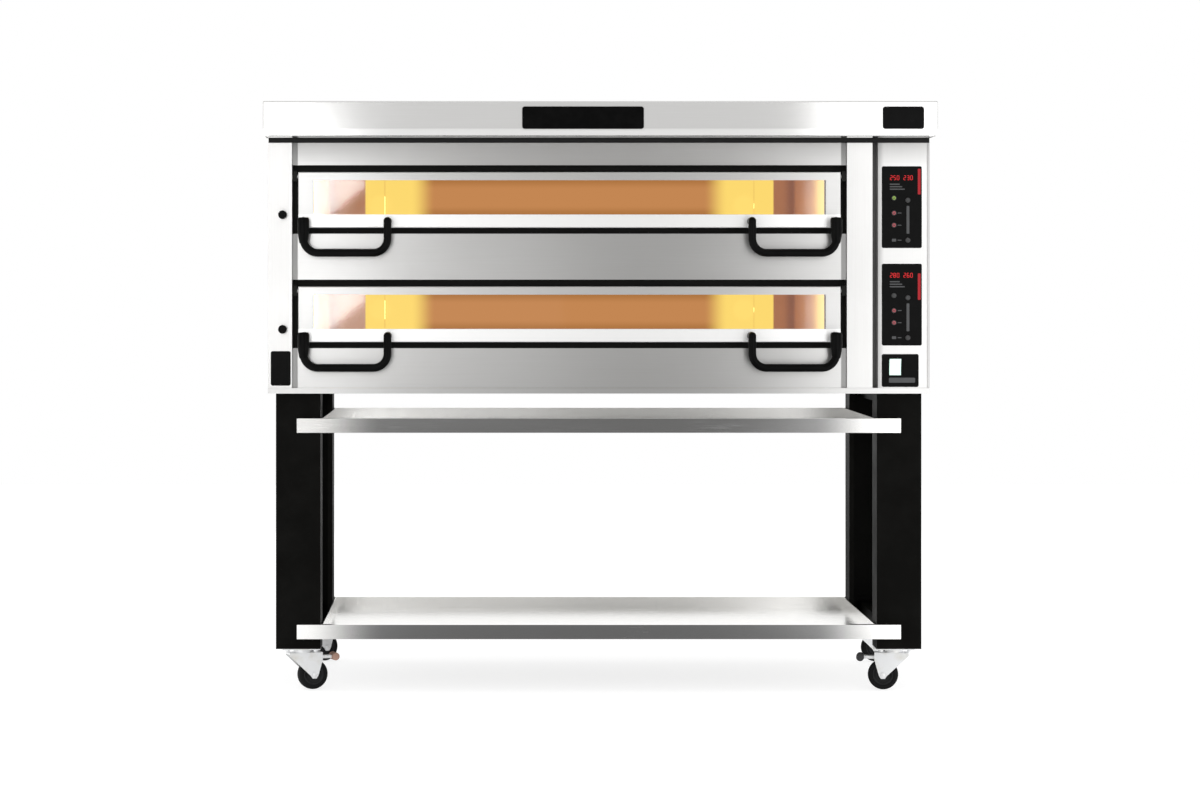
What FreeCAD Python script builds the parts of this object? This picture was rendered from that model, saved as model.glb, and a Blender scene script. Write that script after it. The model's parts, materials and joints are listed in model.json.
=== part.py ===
import FreeCAD, Part
import math
import os
import Sketcher
from FreeCAD import Placement, Rotation, Vector

# Two-deck electric pizza oven on a castered stand.
# +X is to the operator's right, -Y faces the operator, +Z is up.
# The origin is on the floor, under the middle of the hood.

# ---------------------------------------------------------------- driving sizes
DIMENSIONS = {
    # hood and casing
    "hood_width": 1870, "hood_depth": 1075, "hood_overhang": 115, "rear_overhang": 25,
    "hood_bottom": 1555, "hood_top": 1650, "lip_height": 14, "lip_proud": 2,
    "body_width": 1854, "body_bottom": 838, "pan_height": 15.5, "body_top": 1598,
    "sheet_metal": 1.5, "heavy_sheet": 2, "fold_depth": 30, "edge_radius": 12,
    "seam_gap": 0.5, "soffit_height": 2, "slot_width": 90, "slot_height": 12,
    "flue_radius": 75, "flue_height": 45, "flue_flange": 20, "flue_setback": 350,
    # decks
    "deck_centre": -82.5, "deck_pitch": 320.5, "lower_sill": 982,
    "door_width": 1520, "door_height": 156, "door_thick": 40, "door_wall": 2,
    "window_width": 1436, "window_height": 96, "window_lift": 37,
    "side_gap": 17, "gap_over": 19, "gap_under": 17, "panel_step": 6,
    "glass_thick": 5, "glass_lap": 5, "glass_inset": 3, "pane_joint": 517,
    "hinge_drop": 12, "pin_radius": 6, "bearing_play": 0.08, "bracket_size": 14,
    "frame_setback": 45, "mouth_lift": 12, "mouth_height": 134,
    # chambers
    "chamber_depth": 805, "liner_drop": 60, "liner_height": 246, "hearth_thick": 20,
    "hearth_gap": 1, "bearer_width": 12, "element_radius": 4, "element_loop": 80,
    "element_low": 24, "element_high": 226, "lamp_spread": 560, "lamp_radius": 32,
    "insulation_side": 58, "insulation_rear": 60,
    # handles and damper pulls
    "handle_radius": 11, "handle_half": 117, "handle_offset": 625, "handle_reach": 45,
    "handle_drop": 89, "handle_bend": 40, "handle_foot": 18,
    "knob_radius": 12, "knob_length": 20, "rod_radius": 4, "pull_travel": 60,
    "pull_height": 36, "pull_side": 885, "duct_width": 50, "duct_depth": 200,
    "vent_radius": 25, "vent_rise": 60,
    # controls
    "column_width": 146, "groove_width": 15, "groove_depth": 18,
    "panel_width": 112, "panel_height": 229, "panel_centre": 848, "panel_proud": 2,
    "panel_body": 14, "panel_lap": 4, "panel_corner": 5, "panel_bottom": 972.5, "panel_pitch": 273,
    "key_radius": 7, "key_play": 0.4, "key_proud": 2, "key_length": 9,
    "key_left": -22, "key_right": 17,
    "switch_width": 103, "switch_height": 92, "switch_bottom": 856.5,
    "rocker_width": 32, "rocker_height": 46, "rocker_tilt": 8, "rocker_play": 0.7,
    "rocker_pin": 1.5, "rocker_pin_reach": 1.5, "rocker_across": 37, "rocker_rise": 57,
    "gland_radius": 24, "gland_bore": 13, "gland_length": 22, "gland_side": 850,
    "gland_level": 900,
    # blank plates
    "badge_lift": 49, "badge_height": 62, "badge_wide_centre": -48, "badge_wide": 336,
    "badge_hood_left": 780, "badge_hood": 114, "badge_post_inset": 8, "badge_post": 56,
    "badge_post_lift": 22, "badge_post_height": 97,
    # stand
    "leg_centre": 843.5, "leg_width": 125, "leg_depth": 100, "leg_setback": 22,
    "leg_lip": 12, "leg_bottom": 120, "end_plate": 4, "stand_depth": 745.5,
    "side_rail_width": 50, "side_rail_height": 30, "low_rail_level": 150,
    "shelf_half": 776, "shelf_rim": 32, "shelf_rail_half": 846, "shelf_rail_height": 40,
    "upper_shelf_top": 768, "lower_shelf_top": 190,
    # casters
    "wheel_radius": 43, "wheel_width": 30, "caster_inset": 8.5, "caster_trail": 30,
    "axle_radius": 4, "race_radius": 25, "race_height": 10, "race_gap": 0.4,
    "kingpin_radius": 6, "crown_half": 42, "crown_thick": 5, "crown_tail": 12,
    "ear_drop": 16, "fork_plate": 3, "fork_side_gap": 3.5,
    "axle_boss": 11, "mount_length": 105, "mount_width": 84, "bolt_radius": 4,
    "bolt_across": 40, "bolt_along": 30, "bolt_head": 5.3,
    "pedal_pivot": 46, "pedal_reach": 94, "pedal_level": 91, "pedal_pin": 2.5,
    "pedal_boss": 6, "pedal_arm": 8, "pedal_width": 24, "foot_bar_radius": 10.5,
    "foot_bar_width": 34,
}

doc = FreeCAD.newDocument("pizza_oven")
sheet = doc.addObject("Spreadsheet::Sheet", "dims")


class Size:
    """A length that carries its value and the cell expression it stands for."""

    def __init__(self, value, text):
        self.value = value
        self.text = text

    def combine(self, other, sign, result):
        return Size(result, f"({self.text} {sign} {other.text})")

    def __add__(self, other):
        other = size(other)
        return self.combine(other, "+", self.value + other.value)

    def __sub__(self, other):
        other = size(other)
        return self.combine(other, "-", self.value - other.value)

    def __mul__(self, other):
        other = size(other)
        return self.combine(other, "*", self.value * other.value)

    def __truediv__(self, other):
        other = size(other)
        return self.combine(other, "/", self.value / other.value)

    def __neg__(self):
        return size(0) - self

    def __radd__(self, other):
        return size(other) + self

    def __rsub__(self, other):
        return size(other) - self

    def __rmul__(self, other):
        return size(other) * self


def size(value):
    return value if isinstance(value, Size) else Size(float(value), f"({value})")


class Dimensions:
    """The sheet's cells, each as a Size."""


d = Dimensions()
for row, (alias, value) in enumerate(DIMENSIONS.items(), start=1):
    sheet.set(f"A{row}", alias)
    sheet.set(f"B{row}", str(value))
    sheet.setAlias(f"B{row}", alias)
    setattr(d, alias, Size(float(value), f"dims.{alias}"))
doc.recompute()

# ---------------------------------------------------------------- shared planes
FRONT = d.hood_overhang - d.hood_depth / 2
BACK = d.hood_depth / 2 - d.rear_overhang
LEFT = -d.body_width / 2
RIGHT = d.body_width / 2
SKIN = d.sheet_metal
PAN_TOP = d.body_bottom + d.pan_height
WALL_BOTTOM = PAN_TOP + d.seam_gap
ROOF_UNDER = d.body_top - d.heavy_sheet
DOOR_LEFT = d.deck_centre - d.door_width / 2
DOOR_RIGHT = d.deck_centre + d.door_width / 2
OPENING_LEFT = DOOR_LEFT - d.side_gap
OPENING_RIGHT = DOOR_RIGHT + d.side_gap
COLUMN_LEFT = RIGHT - d.column_width
GROOVE_LEFT = COLUMN_LEFT - d.groove_width
FRAME_FRONT = FRONT + d.frame_setback
FRAME_BACK = FRAME_FRONT + d.heavy_sheet
CHAMBER_LEFT = d.deck_centre - d.window_width / 2
CHAMBER_RIGHT = d.deck_centre + d.window_width / 2
CHAMBER_BACK = FRAME_BACK + d.chamber_depth
SILLS = {"lower": d.lower_sill, "upper": d.lower_sill + d.deck_pitch}
STAND_FRONT = FRONT + d.leg_setback
STAND_BACK = STAND_FRONT + d.stand_depth
HEARTH_SLABS = 4
VENT_CENTRE = BACK - d.duct_depth * 0.66
SWITCH_LEFT = d.panel_centre - d.panel_width / 2
ROCKER_X = SWITCH_LEFT + d.rocker_across
ROCKER_Z = d.switch_bottom + d.rocker_rise

sub_parts = {}


# ---------------------------------------------------------------- making shapes
def sub_part(name, thing):
    """Name a finished object as one of the oven's pieces."""
    thing.Label = name
    sub_parts[name] = thing
    return thing


def bind(thing, **sizes):
    """Bind properties to sizes; a double underscore stands for a dot."""
    for path, length in sizes.items():
        thing.setExpression(path.replace("__", "."), size(length).text)


def place(thing, x, y, z):
    bind(thing, Placement__Base__x=x, Placement__Base__y=y, Placement__Base__z=z)


def block(name, x, y, z):
    """A box between a low and a high face along each axis."""
    box = doc.addObject("Part::Box", name)
    bind(box, Length=x[1] - x[0], Width=y[1] - y[0], Height=z[1] - z[0])
    place(box, x[0], y[0], z[0])
    return box


TURNS = {
    "X": Rotation(Vector(0, 1, 0), 90),
    "Y": Rotation(Vector(1, 0, 0), -90),
    "Z": Rotation(),
}


def cylinder(name, radius, start, length, axis="Z"):
    """A round bar that runs from its start along one axis."""
    bar = doc.addObject("Part::Cylinder", name)
    bar.Placement = Placement(Vector(), TURNS[axis])
    bind(bar, Radius=radius, Height=length)
    place(bar, *start)
    return bar


def fuse(name, pieces):
    joined = doc.addObject("Part::MultiFuse", name)
    joined.Shapes = pieces
    joined.Refine = True
    return joined


def cut(name, base, tools):
    """One object with one or more others taken away."""
    tool = tools[0]
    if len(tools) > 1:
        tool = doc.addObject("Part::Compound", f"{name}_tools")
        tool.Links = tools
    result = doc.addObject("Part::Cut", name)
    result.Base = base
    result.Tool = tool
    return result


def group(name, pieces):
    """Separate solids kept together as one piece of the list."""
    bundle = doc.addObject("Part::Compound", name)
    bundle.Links = pieces
    return bundle


def new_sketch(body, plane, name, level):
    """A sketch on one of the body's own planes, moved to a level along that axis."""
    sketch = body.newObject("Sketcher::SketchObject", name)
    role = f"{plane}_Plane"
    support = [item for item in body.Origin.OriginFeatures if item.Role == role][0]
    sketch.AttachmentSupport = [(support, "")]
    sketch.MapMode = "FlatFace"
    offset = -size(level) if plane == "XZ" else size(level)
    bind(sketch, AttachmentOffset__Base__z=offset)
    return sketch


def fix_point(sketch, line, end, u, v):
    """Hold one end of a line at a distance from the sketch's origin."""
    for kind, distance in (("DistanceX", u), ("DistanceY", v)):
        distance = size(distance)
        rule = Sketcher.Constraint(kind, -1, 1, line, end, distance.value)
        index = sketch.addConstraint(rule)
        sketch.setExpression(f"Constraints[{index}]", distance.text)


def outline(sketch, corners):
    """A closed outline of straight lines whose corners stay bound to the sheet."""
    first = sketch.GeometryCount
    points = [Vector(size(u).value, size(v).value, 0) for u, v in corners]
    for start, end in zip(points, points[1:] + points[:1]):
        sketch.addGeometry(Part.LineSegment(start, end))
    for index, (u, v) in enumerate(corners):
        following = first + (index + 1) % len(corners)
        joint = Sketcher.Constraint("Coincident", first + index, 2, following, 1)
        sketch.addConstraint(joint)
        fix_point(sketch, first + index, 1, u, v)


def rectangle(sketch, u, v):
    outline(sketch, [(u[0], v[0]), (u[1], v[0]), (u[1], v[1]), (u[0], v[1])])


def circle(sketch, radius, u=0, v=0):
    radius = size(radius)
    centre = Vector(size(u).value, size(v).value, 0)
    index = sketch.addGeometry(Part.Circle(centre, Vector(0, 0, 1), radius.value))
    rule = sketch.addConstraint(Sketcher.Constraint("Radius", index, radius.value))
    sketch.setExpression(f"Constraints[{rule}]", radius.text)
    fix_point(sketch, index, 3, u, v)


def pad(body, sketch, length):
    feature = body.newObject("PartDesign::Pad", f"{sketch.Name}_pad")
    feature.Profile = sketch
    bind(feature, Length=length)
    return feature


def pocket(body, sketch, depth):
    """Cut along the sketch's back side, and make sure that something is cut."""
    doc.recompute()
    before = body.Shape.Volume
    feature = body.newObject("PartDesign::Pocket", f"{sketch.Name}_pocket")
    feature.Profile = sketch
    bind(feature, Length=depth)
    doc.recompute()
    if body.Shape.Volume >= before:
        raise RuntimeError(f"{feature.Name} cuts nothing")
    return feature


def revolve(body, sketch, axis="V_Axis"):
    feature = body.newObject("PartDesign::Revolution", f"{sketch.Name}_turned")
    feature.Profile = sketch
    feature.ReferenceAxis = (sketch, [axis])
    feature.Angle = 360
    return feature


def repeat(body, feature, sketch, axis, length, count):
    """Repeat a pocket along one of its sketch's axes."""
    pattern = body.newObject("PartDesign::LinearPattern", f"{feature.Name}_row")
    pattern.Originals = [feature]
    pattern.Direction = (sketch, [axis])
    bind(pattern, Length=length)
    pattern.Occurrences = count
    body.Tip = pattern
    return pattern


def round_edges(body, radius, chosen):
    """Fillet those edges of the body that the test picks."""
    doc.recompute()
    base = body.Tip
    names = [f"Edge{i}" for i, edge in enumerate(base.Shape.Edges, 1) if chosen(edge)]
    feature = body.newObject("PartDesign::Fillet", f"{base.Name}_round")
    feature.Base = (base, names)
    bind(feature, Radius=radius)
    return feature


def runs_along(edge, axis):
    """True for a straight edge parallel to an axis, given as a vector."""
    if edge.Curve.TypeId != "Part::GeomLine":
        return False
    return edge.Curve.Direction.cross(axis).Length < 1e-6


def folded(name, plane, level, length, corners):
    """A sheet-metal section drawn on one plane and pushed along its normal."""
    body = doc.addObject("PartDesign::Body", name)
    sketch = new_sketch(body, plane, f"{name}_section", level)
    outline(sketch, corners)
    pad(body, sketch, length)
    return body


def turned(name, profile, plane="XZ", axis="V_Axis"):
    """A round piece turned about an axis of its own profile."""
    body = doc.addObject("PartDesign::Body", name)
    sketch = new_sketch(body, plane, f"{name}_profile", 0)
    outline(sketch, profile)
    revolve(body, sketch, axis)
    return body


# ---------------------------------------------------------------- stand
def channel(name, x, y, z, opens):
    """An upright folded channel with lips, open towards +Y or -Y."""
    wall = d.heavy_sheet
    outer = block(f"{name}_outer", x, y, z)
    depth = (y[0] + wall, y[1]) if opens > 0 else (y[0], y[1] - wall)
    hollow = block(f"{name}_hollow", (x[0] + wall, x[1] - wall), depth, z)
    near = y[1] - wall if opens > 0 else y[0]
    shell = cut(f"{name}_shell", outer, [hollow])
    lip = (near, near + wall)
    left_lip = block(f"{name}_lip_left", (x[0] + wall, x[0] + wall + d.leg_lip), lip, z)
    right_lip = block(f"{name}_lip_right", (x[1] - wall - d.leg_lip, x[1] - wall), lip, z)
    return [shell, left_lip, right_lip]


def upturned_channel(name, x, y, z):
    """A rail folded as a channel that opens downwards."""
    wall = d.heavy_sheet
    outer = block(f"{name}_outer", x, y, z)
    hollow = block(f"{name}_hollow", (x[0] + wall, x[1] - wall), y, (z[0], z[1] - wall))
    return cut(f"{name}_rail", outer, [hollow])


def stand_side(side, centre):
    """One welded side of the stand: two legs, their end plates and two rails."""
    name = f"stand_side_{side}"
    x = (centre - d.leg_width / 2, centre + d.leg_width / 2)
    legs = {
        "front": ((STAND_FRONT, STAND_FRONT + d.leg_depth), 1),
        "rear": ((STAND_BACK - d.leg_depth, STAND_BACK), -1),
    }
    shaft = (d.leg_bottom + d.end_plate, d.body_bottom - d.end_plate)
    pieces = []
    for end, (y, opens) in legs.items():
        pieces += channel(f"{name}_{end}", x, y, shaft, opens)
        pieces.append(block(f"{name}_{end}_foot", x, y, (d.leg_bottom, shaft[0])))
        pieces.append(block(f"{name}_{end}_head", x, y, (shaft[1], d.body_bottom)))
    rail_x = (centre - d.side_rail_width / 2, centre + d.side_rail_width / 2)
    rail_y = (STAND_FRONT + d.heavy_sheet, STAND_BACK - d.heavy_sheet)
    low = (d.low_rail_level, d.low_rail_level + d.side_rail_height)
    high = (shaft[1] - d.side_rail_height, shaft[1])
    pieces.append(upturned_channel(f"{name}_low", rail_x, rail_y, low))
    pieces.append(upturned_channel(f"{name}_high", rail_x, rail_y, high))
    sub_part(name, fuse(name, pieces))


def shelf(level, top):
    """A tray shelf with a full-width rail folded along its front and its back."""
    name = f"shelf_{level}"
    wall = d.heavy_sheet
    half = d.shelf_half
    floor = top - d.shelf_rim
    tray = block(f"{name}_tray", (-half, half), (STAND_FRONT, STAND_BACK), (floor, top))
    well = block(
        f"{name}_well",
        (wall - half, half - wall),
        (STAND_FRONT + wall, STAND_BACK - wall),
        (floor + wall, top),
    )
    pieces = [cut(f"{name}_dish", tray, [well])]
    rail_x = (-d.shelf_rail_half, d.shelf_rail_half)
    rail_z = (top - d.shelf_rail_height, top)
    rail_depth = d.leg_setback - wall
    rails = {
        "front": (STAND_FRONT - rail_depth, STAND_FRONT),
        "rear": (STAND_BACK, STAND_BACK + rail_depth),
    }
    for end, y in rails.items():
        inner_y = (y[0] + wall, y[1]) if end == "front" else (y[0], y[1] - wall)
        bar = block(f"{name}_{end}_bar", rail_x, y, rail_z)
        inside = block(
            f"{name}_{end}_inside",
            (rail_x[0] + wall, rail_x[1] - wall),
            inner_y,
            (rail_z[0] + wall, rail_z[1] - wall),
        )
        pieces.append(cut(f"{name}_{end}_rail", bar, [inside]))
    sub_part(name, fuse(name, pieces))


# ---------------------------------------------------------------- casters
CASTERS = {
    # corner: side of the oven, front or rear, and the way it trails, in degrees
    "front_left": (-1, "front", 20),
    "front_right": (1, "front", 172),
    "rear_left": (-1, "rear", 35),
    "rear_right": (1, "rear", 0),
}
CASTER_SIDE = d.leg_centre - d.caster_inset
CASTER_Y = {
    "front": STAND_FRONT + d.leg_depth / 2,
    "rear": STAND_BACK - d.leg_depth / 2,
}
RACE_BOTTOM = d.leg_bottom - d.end_plate - d.race_height
CROWN_TOP = RACE_BOTTOM - d.race_gap
CROWN_BOTTOM = CROWN_TOP - d.crown_thick


def caster_place(thing, corner):
    side, end, angle = CASTERS[corner]
    turn = Rotation(Vector(0, 0, 1), angle)
    thing.Placement = Placement(Vector(), turn)
    place(thing, side * CASTER_SIDE, CASTER_Y[end], 0)


def caster_mount(corner):
    """Top plate, upper race and kingpin, bolted under a leg."""
    side, end, _ = CASTERS[corner]
    x = side * CASTER_SIDE
    y = CASTER_Y[end]
    top = d.leg_bottom
    name = f"mount_{corner}"
    plate = block(
        f"{name}_plate",
        (x - d.mount_length / 2, x + d.mount_length / 2),
        (y - d.mount_width / 2, y + d.mount_width / 2),
        (top - d.end_plate, top),
    )
    race = cylinder(f"{name}_race", d.race_radius, (x, y, RACE_BOTTOM), d.race_height)
    pin_length = RACE_BOTTOM - CROWN_BOTTOM + d.race_gap
    pin_bottom = CROWN_BOTTOM - d.race_gap
    pin = cylinder(f"{name}_pin", d.kingpin_radius, (x, y, pin_bottom), pin_length)
    nut_radius = d.kingpin_radius + 4
    nut = cylinder(f"{name}_nut", nut_radius, (x, y, pin_bottom - 3), size(3))
    return fuse(name, [plate, race, pin, nut])


def caster_bolts(corner):
    """The four screw heads under one caster's top plate."""
    side, end, _ = CASTERS[corner]
    level = d.leg_bottom - d.end_plate - d.bolt_head
    heads = []
    for along in (-1, 1):
        for across in (-1, 1):
            x = side * CASTER_SIDE + along * d.bolt_across
            y = CASTER_Y[end] + across * d.bolt_along
            name = f"bolt_{corner}_{len(heads) + 1}"
            heads.append(cylinder(name, d.bolt_radius * 1.6, (x, y, level), d.bolt_head))
    return heads


def caster_fork(corner):
    """Swivelling crown with two tapered side plates and the axle bolt."""
    name = f"caster_fork_{corner}"
    body = doc.addObject("PartDesign::Body", name)
    trail = d.caster_trail
    reach = d.wheel_width / 2 + d.fork_side_gap
    outer = reach + d.fork_plate
    side_view = new_sketch(body, "XZ", f"{name}_side", outer)
    foot = d.axle_boss
    outline(side_view, [
        (-d.crown_half, CROWN_TOP), (-d.crown_half, CROWN_BOTTOM - 3),
        (trail - foot, d.wheel_radius - 3), (trail - foot / 2, d.wheel_radius - foot),
        (trail + foot / 2, d.wheel_radius - foot), (trail + foot, d.wheel_radius - 3),
        (d.crown_half + d.crown_tail, CROWN_BOTTOM - d.ear_drop),
        (d.crown_half + d.crown_tail, CROWN_TOP),
    ])
    pad(body, side_view, outer * 2)
    slot = new_sketch(body, "XZ", f"{name}_slot", -reach)
    slot_end = d.crown_half + d.crown_tail + 1
    rectangle(slot, (-d.crown_half - 1, slot_end), (size(0), CROWN_BOTTOM))
    pocket(body, slot, reach * 2)
    bore = new_sketch(body, "XY", f"{name}_bore", CROWN_TOP)
    circle(bore, d.kingpin_radius + d.bearing_play)
    pocket(body, bore, d.crown_thick)
    axle = new_sketch(body, "XZ", f"{name}_axle", outer + 4)
    circle(axle, d.axle_radius, trail, d.wheel_radius)
    pad(body, axle, outer * 2 + 8)
    if corner.startswith("front"):
        pivot = new_sketch(body, "XZ", f"{name}_pivot", outer)
        circle(pivot, d.pedal_pin, d.pedal_pivot, d.pedal_level)
        pad(body, pivot, outer * 2)
    caster_place(body, corner)
    sub_part(name, body)


def caster_wheel(corner):
    """Hub and moulded tyre in one turned section, bored for the axle."""
    name = f"caster_wheel_{corner}"
    body = doc.addObject("PartDesign::Body", name)
    half = d.wheel_width / 2
    bore = d.axle_radius + d.bearing_play
    rim = d.wheel_radius * 0.66
    profile = new_sketch(body, "YZ", f"{name}_profile", 0)
    outline(profile, [
        (-half - 2, bore), (-half - 2, bore + 5), (-half + 6, bore + 6),
        (-half + 6, rim - 4), (-half, rim), (-half, d.wheel_radius - 5),
        (-half + 5, d.wheel_radius), (half - 5, d.wheel_radius),
        (half, d.wheel_radius - 5), (half, rim), (half - 6, rim - 4),
        (half - 6, bore + 6), (half + 2, bore + 5), (half + 2, bore),
    ])
    revolve(body, profile, "H_Axis")
    side, end, angle = CASTERS[corner]
    swing = math.radians(angle)
    body.Placement = Placement(Vector(), Rotation(Vector(0, 0, 1), angle))
    x = side * CASTER_SIDE + d.caster_trail * round(math.cos(swing), 6)
    y = CASTER_Y[end] + d.caster_trail * round(math.sin(swing), 6)
    place(body, x, y, d.wheel_radius)
    sub_part(name, body)


def brake_pedal(side):
    """Rocking brake pedal: pivot boss, flat arm and a round bar for the foot."""
    corner = f"front_{side}"
    name = f"brake_pedal_{side}"
    body = doc.addObject("PartDesign::Body", name)
    width = d.pedal_width
    level = d.pedal_level

    def cross_bar(part_name, radius, x, length):
        ring = new_sketch(body, "XZ", f"{name}_{part_name}", length / 2)
        circle(ring, radius, x, level)
        pad(body, ring, length)

    cross_bar("boss", d.pedal_boss, d.pedal_pivot, width)
    arm = new_sketch(body, "XZ", f"{name}_arm", width / 2)
    rise = d.pedal_arm / 2
    rectangle(arm, (d.pedal_pivot, d.pedal_reach), (level - rise, level + rise))
    pad(body, arm, width)
    cross_bar("foot_bar", d.foot_bar_radius, d.pedal_reach, d.foot_bar_width)
    bore = new_sketch(body, "XZ", f"{name}_bore", -width / 2)
    circle(bore, d.pedal_pin + d.bearing_play, d.pedal_pivot, level)
    pocket(body, bore, width)
    caster_place(body, corner)
    sub_part(name, body)


def casters():
    for corner in CASTERS:
        caster_fork(corner)
        caster_wheel(corner)
    for side in ("left", "right"):
        brake_pedal(side)
    mounts = [caster_mount(corner) for corner in CASTERS]
    sub_part("caster_plates", group("caster_plates", mounts))
    heads = []
    for corner in CASTERS:
        heads += caster_bolts(corner)
    sub_part("stand_bolts", group("stand_bolts", heads))


# ---------------------------------------------------------------- casing
def base_pan():
    """Shallow pan that carries the decks, with stiffening strips inside."""
    name = "base_pan"
    outer = block(f"{name}_outer", (LEFT, RIGHT), (FRONT, BACK), (d.body_bottom, PAN_TOP))
    well = block(
        f"{name}_well",
        (LEFT + SKIN, RIGHT - SKIN),
        (FRONT + SKIN, BACK - SKIN),
        (d.body_bottom + d.heavy_sheet, PAN_TOP),
    )
    sub_part(name, cut(name, outer, [well]))


def side_casing(side, outer, inward):
    """Side sheet with two rows of cooling louvres near the back."""
    name = f"side_casing_{side}"
    body = doc.addObject("PartDesign::Body", name)
    low = outer if inward > 0 else outer - SKIN
    face = new_sketch(body, "YZ", f"{name}_face", low)
    rectangle(face, (FRONT + d.fold_depth + d.seam_gap, BACK - SKIN), (WALL_BOTTOM, ROOF_UNDER))
    pad(body, face, SKIN)
    slots = new_sketch(body, "YZ", f"{name}_louvre", low + SKIN)
    slot_back = BACK - d.slot_width
    slot_low = WALL_BOTTOM + d.slot_width
    rectangle(slots, (slot_back - d.slot_width, slot_back), (slot_low, slot_low + 4))
    louvre = pocket(body, slots, SKIN)
    repeat(body, louvre, slots, "V_Axis", d.slot_width * 2, 10)
    sub_part(name, body)


def rear_casing():
    """Back sheet with the supply cable's hole and a row of louvres."""
    name = "rear_casing"
    body = doc.addObject("PartDesign::Body", name)
    face = new_sketch(body, "XZ", f"{name}_face", BACK)
    rectangle(face, (LEFT + SKIN, RIGHT - SKIN), (WALL_BOTTOM, ROOF_UNDER))
    pad(body, face, SKIN)
    hole = new_sketch(body, "XZ", f"{name}_hole", BACK - SKIN)
    circle(hole, d.gland_bore + 6.5, d.gland_side, d.gland_level)
    pocket(body, hole, SKIN)
    slots = new_sketch(body, "XZ", f"{name}_louvre", BACK - SKIN)
    low = ROOF_UNDER - d.slot_width * 2
    rectangle(slots, (GROOVE_LEFT, GROOVE_LEFT + d.slot_width), (low, low + 4))
    louvre = pocket(body, slots, SKIN)
    repeat(body, louvre, slots, "V_Axis", d.slot_width, 7)
    sub_part(name, body)


def top_cover():
    """Roof sheet of the body, with four stand-offs that carry the hood."""
    name = "top_cover"
    roof = block(f"{name}_roof", (LEFT, RIGHT), (FRONT, BACK), (ROOF_UNDER, d.body_top))
    pieces = [roof]
    pad_half = d.fold_depth
    for side in (-1, 1):
        for depth in (FRONT + d.slot_width, BACK - d.slot_width):
            x = side * (d.body_width / 2 - d.slot_width)
            pieces.append(block(
                f"{name}_standoff_{len(pieces)}",
                (x - pad_half, x + pad_half),
                (depth - pad_half, depth + pad_half),
                (d.body_top, d.hood_top - SKIN),
            ))
    sub_part(name, fuse(name, pieces))


def hood_shell():
    """Hood folded from one sheet, open below, with a hemmed lip all round."""
    name = "hood_shell"
    half = d.hood_width / 2
    deep = d.hood_depth / 2
    body = doc.addObject("PartDesign::Body", name)
    lip = d.lip_proud
    lower = new_sketch(body, "XY", f"{name}_lip", d.hood_bottom)
    rectangle(lower, (-half, half), (-deep, deep))
    pad(body, lower, d.lip_height)
    upper = new_sketch(body, "XY", f"{name}_walls", d.hood_bottom + d.lip_height)
    rectangle(upper, (lip - half, half - lip), (lip - deep, deep - lip))
    pad(body, upper, d.hood_top - d.hood_bottom - d.lip_height)
    doc.recompute()
    top = d.hood_top.value
    outer = d.hood_depth.value / 2 - lip.value

    def hood_edge(edge):
        box = edge.BoundBox
        upper_rim = box.ZMin > top - 0.1
        upright = runs_along(edge, Vector(0, 0, 1)) and box.ZMin > d.hood_bottom.value + 1
        return (upper_rim or upright) and abs(box.YMax) <= outer + 0.1

    round_edges(body, size(4), hood_edge)
    inner = lip + SKIN
    hollow = new_sketch(body, "XY", f"{name}_hollow", d.hood_top - SKIN)
    rectangle(hollow, (inner - half, half - inner), (inner - deep, deep - inner))
    pocket(body, hollow, d.hood_top - SKIN - d.hood_bottom)
    outlet = new_sketch(body, "XY", f"{name}_outlet", d.hood_top)
    circle(outlet, d.flue_radius - d.sheet_metal, 0, d.flue_setback)
    pocket(body, outlet, SKIN)
    sub_part(name, body)


def hood_soffit():
    """Panel under the hood's overhang, slotted so that steam is drawn in."""
    name = "hood_soffit"
    body = doc.addObject("PartDesign::Body", name)
    half = d.hood_width / 2 - d.lip_proud - SKIN
    level = d.hood_bottom + d.soffit_height
    near = d.lip_proud + SKIN - d.hood_depth / 2
    face = new_sketch(body, "XY", f"{name}_face", level)
    rectangle(face, (-half, half), (near, FRONT - d.seam_gap))
    pad(body, face, SKIN)
    slots = new_sketch(body, "XY", f"{name}_slot", level + SKIN)
    start = -half + d.slot_width / 2
    middle = (near + FRONT) / 2
    rectangle(
        slots,
        (start, start + d.slot_width),
        (middle - d.slot_height / 2, middle + d.slot_height / 2),
    )
    slot = pocket(body, slots, SKIN)
    count = 15
    repeat(body, slot, slots, "H_Axis", half * 2 - d.slot_width * 2, count)
    sub_part(name, body)


def flue_collar():
    """Round collar on top of the hood that an extract duct slips over."""
    base = d.hood_top
    inner = d.flue_radius - SKIN
    collar = turned("flue_collar", [
        (inner, base), (d.flue_radius + d.flue_flange, base),
        (d.flue_radius + d.flue_flange, base + SKIN), (d.flue_radius, base + SKIN),
        (d.flue_radius, base + d.flue_height), (inner, base + d.flue_height),
    ])
    place(collar, 0, d.flue_setback, 0)
    sub_part("flue_collar", collar)


def front_post_left():
    """Narrow post left of the doors, drilled for the two damper pulls."""
    name = "front_post_left"
    body = folded(name, "XY", WALL_BOTTOM, ROOF_UNDER - WALL_BOTTOM, [
        (LEFT, FRONT), (OPENING_LEFT, FRONT), (OPENING_LEFT, FRAME_FRONT),
        (OPENING_LEFT - SKIN, FRAME_FRONT), (OPENING_LEFT - SKIN, FRONT + SKIN),
        (LEFT + SKIN, FRONT + SKIN), (LEFT + SKIN, FRONT + d.fold_depth),
        (LEFT, FRONT + d.fold_depth),
    ])
    holes = new_sketch(body, "XZ", f"{name}_holes", FRONT)
    for sill in SILLS.values():
        circle(holes, d.rod_radius + 2, -d.pull_side, sill + d.pull_height)
    pocket(body, holes, SKIN)
    sub_part(name, body)


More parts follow.
